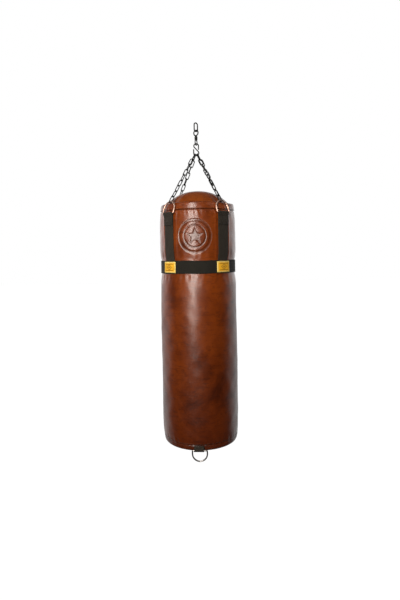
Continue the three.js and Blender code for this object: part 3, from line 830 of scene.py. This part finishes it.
def make_band():
    """Band that cinches the bag over the straps."""
    phi = np.radians(np.arange(0, 360, BAND_STEP))
    section = strip_section(WEBBING_WIDTH - WEBBING_TRIM, WEBBING - BAND_THINNER, 18)
    sag = BAND_SAG * ripple(phi, 0 * phi, 31, (2, 7), (0.3, 0.6))
    columns = []
    for u, w in section:
        z = BAND_MIDDLE + u + sag
        radius = band_lay(phi, z) + WEBBING / 2 + w
        columns.append(on_round(radius, phi, z))
    points = np.stack(columns, 1)
    along = np.radians(np.arange(0, 360 + BAND_STEP, BAND_STEP)) * BAG_RADIUS
    across = np.append(section[:, 0], section[0, 0])
    mesh = grid_mesh("waist_webbing", points, closed=(True, True), values=(along, across))
    band = finish_object("waist_webbing", mesh, BAND_WEBBING)
    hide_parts("waist_band")
    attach(band, "bag")


LABEL_LIFT = 2 * WEBBING + 0.9 * MM
LABEL_WIDTH = 63 * MM
LABEL_HEIGHT = 42 * MM
LABEL_PUFF = 1.3 * MM
LABEL_TURN_IN = 1.1 * MM
LABEL_BACK = 0.4 * MM
LABEL_HEM = 2.6 * MM


def make_label(corner, angle):
    """Woven patch on the band, its edge turned in and its corners a little round."""
    rows, columns = 30, 40
    v = np.linspace(-1, 1, rows)[:, None]
    u = np.linspace(-1, 1, columns)[None, :]
    edge = np.minimum(1 - np.abs(u), (1 - np.abs(v)) * LABEL_HEIGHT / LABEL_WIDTH) * LABEL_WIDTH / 2
    puff = LABEL_PUFF * (1 - np.exp(-edge / LABEL_TURN_IN))
    near_side = np.maximum(np.abs(u) - 0.93, 0) / 0.07
    near_end = np.maximum(np.abs(v) - 0.9, 0) / 0.1
    shrink = 1 - 0.03 * np.maximum(0, np.hypot(near_side, near_end) - 1)
    z = BAND_MIDDLE + v * shrink * LABEL_HEIGHT / 2
    turn = math.radians(angle) + u * shrink * LABEL_WIDTH / 2 / BAG_RADIUS
    base = bag_radius(z) + LABEL_LIFT + 0 * u
    outer = on_round(base + puff, turn, z)
    inner = on_round(base - LABEL_BACK, turn, z)
    points = np.concatenate([outer, inner[:, ::-1]], 1)
    along = np.linspace(0, 1, rows)
    across = np.concatenate([np.linspace(0, 1, columns), np.linspace(1, 0, columns), [0]])
    mesh = grid_mesh("label", points, closed=(False, True), values=(along, across), caps=True)
    label = finish_object("woven_label_" + corner, mesh, GOLD_LABEL)
    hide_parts("label_" + corner)
    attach(label, "bag")


TAB_RADIUS = float(bag_radius(FOOT_SEAM)) + SLACK
BOTTOM_BAR_RADIUS = TAB_RADIUS + WEBBING + SLACK + RING_WIRE / 2


def make_foot_tab():
    """Short webbing loop from the foot seam, down round the lower ring's bar and back up."""
    top = FOOT_SEAM - 1 * MM
    start = float(leather_radius(math.radians(TAB_ANGLE), top)) + 0.6 * WEBBING
    tuck = TAB_RADIUS + WEBBING / 2 - start

    def lay(radius, heights):
        """Points down the tab that start close to the leather and end at the radius."""
        return [(radius - tuck * float(ease(z, BOTTOM_BAR_Z, top)), z) for z in heights]

    down = lay(TAB_RADIUS + WEBBING / 2, np.linspace(top, BOTTOM_BAR_Z + 2 * MM, 8))
    turn = [
        (BOTTOM_BAR_RADIUS + FOLD_RADIUS * math.cos(a), BOTTOM_BAR_Z + FOLD_RADIUS * math.sin(a))
        for a in np.radians(np.linspace(180, 420, 26))
    ]
    up = lay(TAB_RADIUS + 1.6 * WEBBING, np.linspace(turn[-1][1] + 2 * MM, top, 5))
    mesh = strip_mesh("tab", down + turn + up, TAB_WIDTH, TAB_ANGLE, FOOT)
    tab = finish_object("foot_tab_webbing", mesh, BLACK_WEBBING)
    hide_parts("bottom_tab")
    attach(tab, "bag")


for name, degrees in CORNERS.items():
    make_strap(name, degrees)
    make_label(name, degrees)
make_band()
make_foot_tab()


# ---- metal ------------------------------------------------------------------------------

def ring_points(half, leg):
    """D shape as (across, up) points: the bar along up = 0 and the bow above it."""
    corner = RING_CORNER
    parts = [
        arc((half - corner, corner), corner, -90, 0, 8), straight((half, corner), (half, leg), 6),
        arc((0, leg), half, 0, 180, 44), straight((-half, leg), (-half, corner), 6),
        arc((corner - half, corner), corner, 180, 270, 8),
        straight((corner - half, 0), (half - corner, 0), 16),
    ]
    return np.concatenate(parts)


def make_ring(name, node, body, angle, flat, material, lean, bar):
    """D ring whose bar lies at (radius, z) bar, its bow leant inwards and moved sideways."""
    out, side = around(angle)
    rise = -math.sin(lean) * out + math.cos(lean) * np.array([0, 0, 1.0])
    flat = np.asarray(flat)
    points = flat[:, :1] * side + flat[:, 1:] * rise + out * bar[0] + np.array([0, 0, bar[1]])
    ring = finish_object(name, wire_mesh(name, points, RING_WIRE / 2, 18), material)
    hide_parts(node)
    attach(ring, body)


def upright(flat, face):
    """Places of flat (across, up) points on the hanging line, in the plane turned by face degrees."""
    a = math.radians(face)
    return np.stack([flat[:, 0] * math.cos(a), flat[:, 0] * math.sin(a), flat[:, 1]], 1)


def loop_points(width, drop, face, top):
    """Long loop's wire centre from z = top down, width across, in the plane turned by face."""
    r = width / 2
    flat = np.concatenate([
        arc((0, -r), r, 0, 180, 20), straight((-r, -r), (-r, r - drop), 10),
        arc((0, r - drop), r, 180, 360, 20), straight((r, r - drop), (r, -r), 10),
    ])
    return upright(flat + np.array([0, top]), face)


def joined(name, meshes):
    """One mesh from several."""
    work = bmesh.new()
    for mesh in meshes:
        work.from_mesh(mesh)
        bpy.data.meshes.remove(mesh)
    mesh = bpy.data.meshes.new(name)
    work.to_mesh(mesh)
    work.free()
    return mesh


def add_metal(name, mesh, node, body):
    """Piece of black steel that stands for a CAD node and rides on a body."""
    obj = finish_object(name, mesh, BLACK_STEEL)
    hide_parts(node)
    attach(obj, body)


TOP_LINK_WIRE = 5 * MM
TOP_LINK_WIDTH = 22 * MM
TOP_LINK_INSIDE = 30 * MM
TOP_LINK_FACE = 38

EYE_MIDDLE = -38.2 * MM
EYE_RADIUS = 11 * MM
EYE_WIRE = 5 * MM
EYE_FACE = -38

BARREL_TOP = -53.4 * MM
BARREL_BOTTOM = -69 * MM
LOWER_EYE_TOP = -67.5 * MM
LOWER_EYE_WIDTH = 20 * MM
LOWER_EYE_DROP = 20.5 * MM
LOWER_EYE_WIRE = 4.4 * MM
LOWER_EYE_FACE = 60


def make_top_link():
    """Long link that the bag hangs from."""
    points = loop_points(TOP_LINK_WIDTH - TOP_LINK_WIRE, TOP_LINK_INSIDE + TOP_LINK_WIRE, TOP_LINK_FACE,
                         TOP_LINK_WIRE / 2)
    add_metal("upper_link", wire_mesh("upper_link", points, TOP_LINK_WIRE / 2), "top_link", "hanger")


def make_swivel_eye():
    """Round forged eye and the stem whose head turns inside the barrel."""
    ring = upright(arc((0, EYE_MIDDLE), EYE_RADIUS, 0, 360, 48), EYE_FACE)
    stem = [(0, -59.9), (4.6, -59.9), (4.6, -56.9), (3.2, -56.9), (3.2, -53.1), (4.4, -53.1), (4.6, -52),
            (4.4, -50.2), (3.4, -48.6), (0, -48.6)]
    stem = np.array(stem) * MM
    meshes = [wire_mesh("eye", ring, EYE_WIRE / 2), turned_mesh("stem", stem, 40)]
    add_metal("swivel_upper_eye", joined("swivel_upper_eye", meshes), "swivel_eye", "swivel_head")


def make_swivel_barrel():
    """Barrel with a domed shoulder and a turned groove, and the long eye below it."""
    foot = [(5.0, 0), (5.9, 0.5), (6.2, 1.4), (6.2, 5.2), (5.8, 5.6), (5.8, 6.4), (6.2, 6.8)]
    shoulder = [(6.2, 1.6), (5.9, 0.6), (5.1, 0)]
    bore = [(3.5, 0), (3.5, 3.2), (4.9, 3.2), (4.9, 7.7), (0, 7.7)]
    outline = [(0, BARREL_BOTTOM)] + [(out * MM, BARREL_BOTTOM + up * MM) for out, up in foot]
    outline += [(out * MM, BARREL_TOP - down * MM) for out, down in shoulder + bore]
    loop = loop_points(LOWER_EYE_WIDTH - LOWER_EYE_WIRE, LOWER_EYE_DROP, LOWER_EYE_FACE, LOWER_EYE_TOP)
    meshes = [turned_mesh("barrel", outline, 48), wire_mesh("loop", loop, LOWER_EYE_WIRE / 2)]
    add_metal("swivel_lower_barrel", joined("swivel_lower_barrel", meshes), "swivel_barrel", "swivel_body")


HOOK_WIRE = 4.8 * MM
HOOK_TOP = -81.9 * MM
HOOK_BEND = -120.5 * MM
TOP_BEND_RADIUS = 9.4 * MM
LOW_BEND_RADIUS = 10.4 * MM


def smooth_path(points, steps):
    """Catmull-Rom curve through points."""
    p = np.asarray(points, float)
    p = np.vstack([2 * p[0] - p[1], p, 2 * p[-1] - p[-2]])
    t = np.linspace(0, 1, steps, endpoint=False)[:, None]
    made = []
    for a, b, c, d in zip(p, p[1:], p[2:], p[3:]):
        square, cube = 2 * a - 5 * b + 4 * c - d, 3 * b - a - 3 * c + d
        made.append(0.5 * (2 * b + (c - a) * t + square * t ** 2 + cube * t ** 3))
    return np.vstack(made + [p[-2:-1]])


def make_hook():
    """S hook of round wire, its two mouths open."""
    centre = HOOK_TOP - TOP_BEND_RADIUS
    upper = arc((0, centre), TOP_BEND_RADIUS, 0, 223, 18)
    lower = arc((0, HOOK_BEND), LOW_BEND_RADIUS, 43, -180.1, 18)
    flat = np.vstack([
        [(TOP_BEND_RADIUS, centre - 14 * MM), (TOP_BEND_RADIUS, centre - 7 * MM)], upper,
        straight(upper[-1], lower[0], 5)[1:], lower,
        [(-LOW_BEND_RADIUS, HOOK_BEND + 7 * MM), (-LOW_BEND_RADIUS, HOOK_BEND + 14 * MM)],
    ])
    flat = smooth_path(flat, 4)
    mesh = wire_mesh("hanging_hook", upright(flat, 0), HOOK_WIRE / 2, closed=False)
    add_metal("hanging_hook", mesh, "s_hook", "hook")


def make_rings():
    """Four copper D rings in the straps' folds, and the nickel one that hangs from the foot."""
    for corner, angle in CORNERS.items():
        make_ring("copper_ring_" + corner, "d_ring_" + corner, "ring_" + corner, angle,
                  ring_points(RING_HALF_WIDTH, RING_LEG), COPPER, RING_LEAN,
                  (RING_BAR_RADIUS, RING_BAR_Z))
    hanging = ring_points(FOOT_RING_HALF_WIDTH, FOOT_RING_LEG) * np.array([1, -1])
    make_ring("nickel_foot_ring", "bottom_ring", "bottom_ring_body", TAB_ANGLE,
              hanging + np.array([FOOT_RING_SHIFT, 0]), NICKEL, 0,
              (BOTTOM_BAR_RADIUS, BOTTOM_BAR_Z))


make_rings()
make_top_link()
make_swivel_eye()
make_swivel_barrel()
make_hook()


# ---- chains and stitches, by geometry nodes ---------------------------------------------

class Spread:
    """A geometry node tree being made, with a named input for each setting."""

    def __init__(self, name, inputs):
        self.tree = bpy.data.node_groups.new(name, "GeometryNodeTree")
        face = self.tree.interface
        face.new_socket("Places", in_out="INPUT", socket_type="NodeSocketGeometry")
        self.ids = {}
        for label, kind in inputs:
            self.ids[label] = face.new_socket(label, in_out="INPUT", socket_type=kind).identifier
        face.new_socket("Result", in_out="OUTPUT", socket_type="NodeSocketGeometry")
        self.entry = self.tree.nodes.new("NodeGroupInput")

    def node(self, kind, settings=None, **inputs):
        """A node, its inputs set by name."""
        made = self.tree.nodes.new(kind)
        for key, value in (settings or {}).items():
            setattr(made, key, value)
        for key, value in inputs.items():
            socket = made.inputs[key.replace("_", " ")]
            if isinstance(value, bpy.types.NodeSocket):
                self.tree.links.new(value, socket)
            else:
                socket.default_value = value
        return made

    def setting(self, label):
        """Output of the tree's own named input."""
        return self.entry.outputs[label]

    def turn(self):
        """Rotation that lays X along each point's run and Z along its face."""
        named = {"data_type": "FLOAT_VECTOR"}
        run = self.node("GeometryNodeInputNamedAttribute", named, Name="run").outputs[0]
        face = self.node("GeometryNodeInputNamedAttribute", named, Name="face").outputs[0]
        first = self.node("FunctionNodeAlignRotationToVector", {"axis": "X"}, Vector=run).outputs[0]
        pivot = {"axis": "Z", "pivot_axis": "X"}
        return self.node("FunctionNodeAlignRotationToVector", pivot, Rotation=first, Vector=face).outputs[0]

    def close(self, shape, **more):
        """Puts the shape at every place and ends the tree."""
        put = self.node("GeometryNodeInstanceOnPoints", Points=self.setting("Places"), Instance=shape,
                        Rotation=self.turn(), **more)
        real = self.node("GeometryNodeRealizeInstances", Geometry=put.outputs[0])
        done = self.node("GeometryNodeSetMaterial", Geometry=real.outputs[0],
                         Material=self.setting("Material"))
        last = self.tree.nodes.new("NodeGroupOutput")
        self.tree.links.new(done.outputs[0], last.inputs[0])

    def build(self, name, places, run, face, material, **settings):
        """Plain mesh object made by the tree from points with a run and a face direction each."""
        mesh = bpy.data.meshes.new(name)
        mesh.from_pydata(np.asarray(places).tolist(), [], [])
        for label, values in (("run", run), ("face", face)):
            mesh.attributes.new(label, "FLOAT_VECTOR", "POINT").data.foreach_set("vector", np.ravel(values))
        source = bpy.data.objects.new(name + "_places", mesh)
        bpy.context.collection.objects.link(source)
        modifier = source.modifiers.new("spread", "NODES")
        modifier.node_group = self.tree
        modifier[self.ids["Material"]] = material
        for label, value in settings.items():
            modifier[self.ids[label]] = value
        ready = source.evaluated_get(bpy.context.evaluated_depsgraph_get())
        made = bpy.data.meshes.new_from_object(ready)
        bpy.data.objects.remove(source)
        return finish_object(name, face_out(made), material)


NEARLY_HALF = 0.499


def chain_tree():
    """Round-ended wire link at every place."""
    spread = Spread("chain_links", [
        ("Length", "NodeSocketFloat"), ("Width", "NodeSocketFloat"), ("Wire", "NodeSocketFloat"),
        ("Material", "NodeSocketMaterial"),
    ])
    box = spread.node("GeometryNodeCurvePrimitiveQuadrilateral", Width=spread.setting("Length"),
                      Height=spread.setting("Width"))
    half = spread.node("ShaderNodeMath", {"operation": "MULTIPLY"})
    spread.tree.links.new(spread.setting("Width"), half.inputs[0])
    half.inputs[1].default_value = NEARLY_HALF
    loop = spread.node("GeometryNodeFilletCurve", {"mode": "POLY"}, Curve=box.outputs[0], Count=7,
                       Radius=half.outputs[0])
    round_wire = spread.node("GeometryNodeCurvePrimitiveCircle", Resolution=12, Radius=spread.setting("Wire"))
    link = spread.node("GeometryNodeCurveToMesh", Curve=loop.outputs[0], Profile_Curve=round_wire.outputs[0])
    spread.close(link.outputs[0])
    return spread


def stitch_tree():
    """Long bead of thread at every place."""
    spread = Spread("stitches", [("Size", "NodeSocketVector"), ("Material", "NodeSocketMaterial")])
    bead = spread.node("GeometryNodeMeshUVSphere", Segments=8, Rings=5, Radius=1.0)
    spread.close(bead.outputs[0], Scale=spread.setting("Size"))
    return spread


CHAIN = chain_tree()
STITCH = stitch_tree()

CHAIN_LINKS = 9
LINK_WIRE = 3.8 * MM
LINK_WIDTH = 16 * MM
LINK_INSIDE = 28 * MM
RING_PLAY = 1.2 * MM
SEATS = {"front_left": -60, "back_left": -19.5, "front_right": 19.5, "back_right": 60}


def unit(vector):
    """The same direction with length 1."""
    return vector / np.linalg.norm(vector)


def make_chain(corner, angle):
    """Nine welded links from the hook's lower bend to the D ring, sharing the quarter turns."""
    seat = math.radians(SEATS[corner])
    hook_wire = np.array([math.sin(seat), 0, -math.cos(seat)]) * LOW_BEND_RADIUS + np.array([0, 0, HOOK_BEND])
    hook_run = np.array([math.cos(seat), 0, math.sin(seat)])
    out, side = around(angle)
    rise = RING_LEG + RING_HALF_WIDTH
    crown = out * (RING_BAR_RADIUS - rise * math.sin(RING_LEAN))
    crown = crown + np.array([0, 0, RING_BAR_Z + rise * math.cos(RING_LEAN)])
    pull = unit(crown - hook_wire)
    bearing = unit(pull - hook_run * pull.dot(hook_run))
    start = hook_wire - bearing * ((HOOK_WIRE + LINK_WIRE) / 2 + 2 * SLACK)
    end = crown + pull * ((RING_WIRE + LINK_WIRE) / 2 + RING_PLAY)
    along = unit(end - start)
    step = (np.linalg.norm(end - start) - LINK_INSIDE - LINK_WIRE) / (CHAIN_LINKS - 1)
    first = unit(np.cross([0, 1.0, 0], along))
    last = unit(side - along * side.dot(along))
    total = math.atan2(np.cross(first, last).dot(along), first.dot(last))
    total -= math.pi * round(total / math.pi)
    turn = math.pi / 2 + total / (CHAIN_LINKS - 1)
    number = np.arange(CHAIN_LINKS)
    places = start + along * (step * number + (LINK_INSIDE + LINK_WIRE) / 2)[:, None]
    faces = [np.cos(turn * i) * first + np.sin(turn * i) * np.cross(along, first) for i in number]
    runs = np.tile(along, (CHAIN_LINKS, 1))
    chain = CHAIN.build("black_chain_" + corner, places, runs, faces, BLACK_STEEL,
                        Length=LINK_INSIDE + LINK_WIRE, Width=LINK_WIDTH - LINK_WIRE, Wire=LINK_WIRE / 2)
    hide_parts(*[f"chain_{corner}_link_{i + 1}" for i in range(CHAIN_LINKS)])
    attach(chain, "bag")


LONG_STITCH = (2.3 * MM, 0.65 * MM, 0.55 * MM)
SHORT_STITCH = (1.3 * MM, 0.45 * MM, 0.4 * MM)
STITCH_TURN = 0.3


def along_line(line, length, at):
    """Places at distances along a line whose points lie at length."""
    return np.stack([np.interp(at, length, line[:, k]) for k in range(3)], 1)


def sewn(name, lines, thread, spacing, size=LONG_STITCH):
    """Rows of stitches along lines that lie on the bag, each stitch facing out."""
    places, runs, faces = [], [], []
    for line in lines:
        line = np.asarray(line, float)
        length = np.concatenate([[0], np.cumsum(np.linalg.norm(np.diff(line, axis=0), axis=1))])
        count = max(1, int(length[-1] / spacing))
        at = (np.arange(count) + 0.5) * length[-1] / count
        spot = along_line(line, length, at)
        ahead = along_line(line, length, at + STITCH_TURN * spacing)
        behind = along_line(line, length, at - STITCH_TURN * spacing)
        out = spot * np.array([1, 1, 0])
        places.append(spot)
        runs.append(ahead - behind)
        faces.append(out / np.linalg.norm(out, axis=1)[:, None])
    made = STITCH.build(name, np.vstack(places), np.vstack(runs), np.vstack(faces), thread, Size=size)
    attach(made, "bag")


STITCH_LIFT = 0.25 * MM
SEAM_SIDE = 5 * MM
BACK_SEAM_SIDE = 4.5 * MM
STRAP_BOX = 20 * MM
OVERLAP_BOX = 18 * MM


def on_leather(phi, z):
    """Places just above the finished leather."""
    radius = leather_radius(phi, z)
    return on_round(radius - pinch(radius, phi, z) + STITCH_LIFT, phi, z)


def around_bag(z, count=720):
    """Line once round the leather at a height."""
    phi = np.linspace(0, TAU, count)
    return on_leather(phi, np.full(count, z))


def patch_lines(angle, half_width, low, high, lift, cross=True):
    """Stitched box with its diagonals, laid round the bag at a lift over the leather."""
    def line(u0, z0, u1, z1):
        """Straight row from one spot of the box to another."""
        t = np.linspace(0, 1, 24)
        z = z0 + (z1 - z0) * t
        phi = math.radians(angle) + (u0 + (u1 - u0) * t) / BAG_RADIUS
        return on_round(bag_radius(z) + lift, phi, z)

    w = half_width
    lines = [line(-w, low, w, low), line(w, low, w, high), line(w, high, -w, high), line(-w, high, -w, low)]
    if cross:
        lines += [line(-w, low, w, high), line(-w, high, w, low)]
    return lines


def make_stitches():
    """Stitches of the leather's seams, of the webbing's folds and of the labels, one thread each."""
    leather = [around_bag(z) for z in (TOP_SEAM + SEAM_SIDE, FOOT_SEAM + SEAM_SIDE, FOOT_SEAM - SEAM_SIDE)]
    for high, low in ((TOP_SEAM - 8 * MM, BAND_HIGH.z + 3 * MM), (BAND_LOW.z - 3 * MM, FOOT_SEAM + 8 * MM)):
        z = np.linspace(high, low, 300)
        for shift in (-BACK_SEAM_SIDE, BACK_SEAM_SIDE):
            leather.append(on_leather(BACK_SEAM + shift / BAG_RADIUS + 0 * z, z))
    sewn("leather_stitches", leather, BROWN_THREAD, 6.2 * MM)
    webbing, labels = [], []
    for angle in CORNERS.values():
        webbing += patch_lines(angle, STRAP_BOX, RING_BAR_Z - FOLD_LENGTH + 4 * MM, RING_BAR_Z - 16 * MM,
                               FOLD_GAP + 2 * WEBBING + 0.1 * MM)
        labels += patch_lines(angle, LABEL_WIDTH / 2 - LABEL_HEM, BAND_MIDDLE - LABEL_HEIGHT / 2 + LABEL_HEM,
                              BAND_MIDDLE + LABEL_HEIGHT / 2 - LABEL_HEM, LABEL_LIFT + 1.25 * MM, cross=False)
    webbing += patch_lines(math.degrees(BACK_SEAM), OVERLAP_BOX, BAND_LOW.z + 6 * MM, BAND_HIGH.z - 6 * MM,
                           BAND_GAP + WEBBING)
    sewn("webbing_stitches", webbing, BLACK_THREAD, 4.4 * MM)
    sewn("label_stitches", labels, GOLD_THREAD, 3.4 * MM, SHORT_STITCH)


for name, degrees in CORNERS.items():
    make_chain(name, degrees)
make_stitches()

for node, material in (("foam_padding", foam_material()), ("filling", rag_material())):
    inside = frame["nodes"][node]
    inside.data.materials.clear()
    inside.data.materials.append(material)


# ---- floor, lights and camera -----------------------------------------------------------

FLOOR = -2.45
FLOOR_HALF = 30
FLOOR_GLOW = 0.8
WALL_GLOW = 1.8
FRONT_GLOW = 0.012
OVERHEAD_SHARE = 0.06
LAMP_COLOUR = (1.0, 0.93, 0.86)
EYE = (0.008, -1.9, -0.536)
EYE_ROLL = -1.0
SENSOR = 36
LENS = 27.96
LENS_SHIFT = -0.075


def seen_or_lit(tree, seen, lit):
    """Strength that is seen by the camera as one value and lights the object with another."""
    path = tree.nodes.new("ShaderNodeLightPath")
    mix = tree.nodes.new("ShaderNodeMix")
    tree.links.new(path.outputs["Is Camera Ray"], mix.inputs[0])
    mix.inputs[3].default_value = seen
    if isinstance(lit, bpy.types.NodeSocket):
        tree.links.new(lit, mix.inputs[2])
    else:
        mix.inputs[2].default_value = lit
    return mix.outputs[0]


def faded(tree, value, start, end, low, high):
    """Number that goes from low to high while value goes from start to end."""
    fade = tree.nodes.new("ShaderNodeMapRange")
    tree.links.new(value, fade.inputs["Value"])
    for name, amount in (("From Min", start), ("From Max", end), ("To Min", low), ("To Max", high)):
        fade.inputs[name].default_value = amount
    return fade.outputs[0]


def split_place(tree, kind):
    """X, Y and Z outputs of one kind of texture coordinate."""
    split = tree.nodes.new("ShaderNodeSeparateXYZ")
    tree.links.new(tree.nodes.new("ShaderNodeTexCoord").outputs[kind], split.inputs[0])
    return split.outputs


def make_floor():
    """White floor that lights the object only from behind it."""
    half = FLOOR_HALF
    corners = [(-half, -half, FLOOR), (half, -half, FLOOR), (half, half, FLOOR), (-half, half, FLOOR)]
    mesh = bpy.data.meshes.new("floor")
    mesh.from_pydata(corners, [], [(0, 1, 2, 3)])
    material = bpy.data.materials.new("white_floor")
    material.use_nodes = True
    tree = material.node_tree
    shader = tree.nodes["Principled BSDF"]
    shader.inputs["Base Color"].default_value = (0.08, 0.08, 0.08, 1)
    shader.inputs["Roughness"].default_value = 0.9
    shader.inputs["Emission Color"].default_value = (1, 1, 1, 1)
    behind = faded(tree, split_place(tree, "Object")[1], 0.4, 1.6, 0.0, FLOOR_GLOW)
    tree.links.new(seen_or_lit(tree, 1.0, behind), shader.inputs["Emission Strength"])
    floor = finish_object("floor", mesh, material, smooth=False)


def make_world():
    """White studio: bright behind the object, dim in front of it and overhead."""
    world = bpy.data.worlds.new("studio")
    world.use_nodes = True
    tree = world.node_tree
    _, ahead, up = split_place(tree, "Generated")
    wall = tree.nodes.new("ShaderNodeMath")
    wall.operation = "MULTIPLY"
    tree.links.new(faded(tree, ahead, 0.1, 0.5, FRONT_GLOW, WALL_GLOW), wall.inputs[0])
    tree.links.new(faded(tree, up, 0.25, 0.6, 1.0, OVERHEAD_SHARE), wall.inputs[1])
    back = tree.nodes["Background"]
    back.inputs["Color"].default_value = (1, 1, 1, 1)
    tree.links.new(seen_or_lit(tree, 1.0, wall.outputs[0]), back.inputs["Strength"])
    bpy.context.scene.world = world


def add_light(name, azimuth, distance, height, size, power, aim=-0.75):
    """Rectangular softbox round the bag, facing its axis at the aim height."""
    light = bpy.data.lights.new(name, "AREA")
    light.shape = "RECTANGLE"
    light.size, light.size_y = size
    light.energy = power
    light.color = LAMP_COLOUR
    obj = bpy.data.objects.new(name, light)
    a = math.radians(azimuth)
    obj.location = (distance * math.cos(a), distance * math.sin(a), height)
    towards = Vector((0, 0, aim)) - obj.location
    obj.rotation_euler = towards.to_track_quat("-Z", "Y").to_euler()
    bpy.context.collection.objects.link(obj)


def make_camera():
    """Level camera in front of the bag, rolled a little."""
    data = bpy.data.cameras.new("camera")
    data.sensor_width = SENSOR
    data.lens = LENS
    data.shift_y = LENS_SHIFT
    camera = bpy.data.objects.new("camera", data)
    turn = Matrix.Rotation(math.pi / 2, 4, "X") @ Matrix.Rotation(math.radians(EYE_ROLL), 4, "Z")
    camera.matrix_world = Matrix.Translation(EYE) @ turn
    bpy.context.collection.objects.link(camera)
    bpy.context.scene.camera = camera


make_floor()
make_world()
add_light("key_strip", -106, 2.2, -0.1, (0.52, 1.6), 66, -0.2)
add_light("high_front", -95, 1.7, 1.9, (1.8, 0.9), 14, -0.5)
add_light("high_right", -30, 2.0, 1.2, (0.8, 0.8), 4)
add_light("high_left", -150, 2.0, 1.2, (0.8, 0.8), 4)
make_camera()
bpy.context.scene.view_settings.view_transform = "Standard"
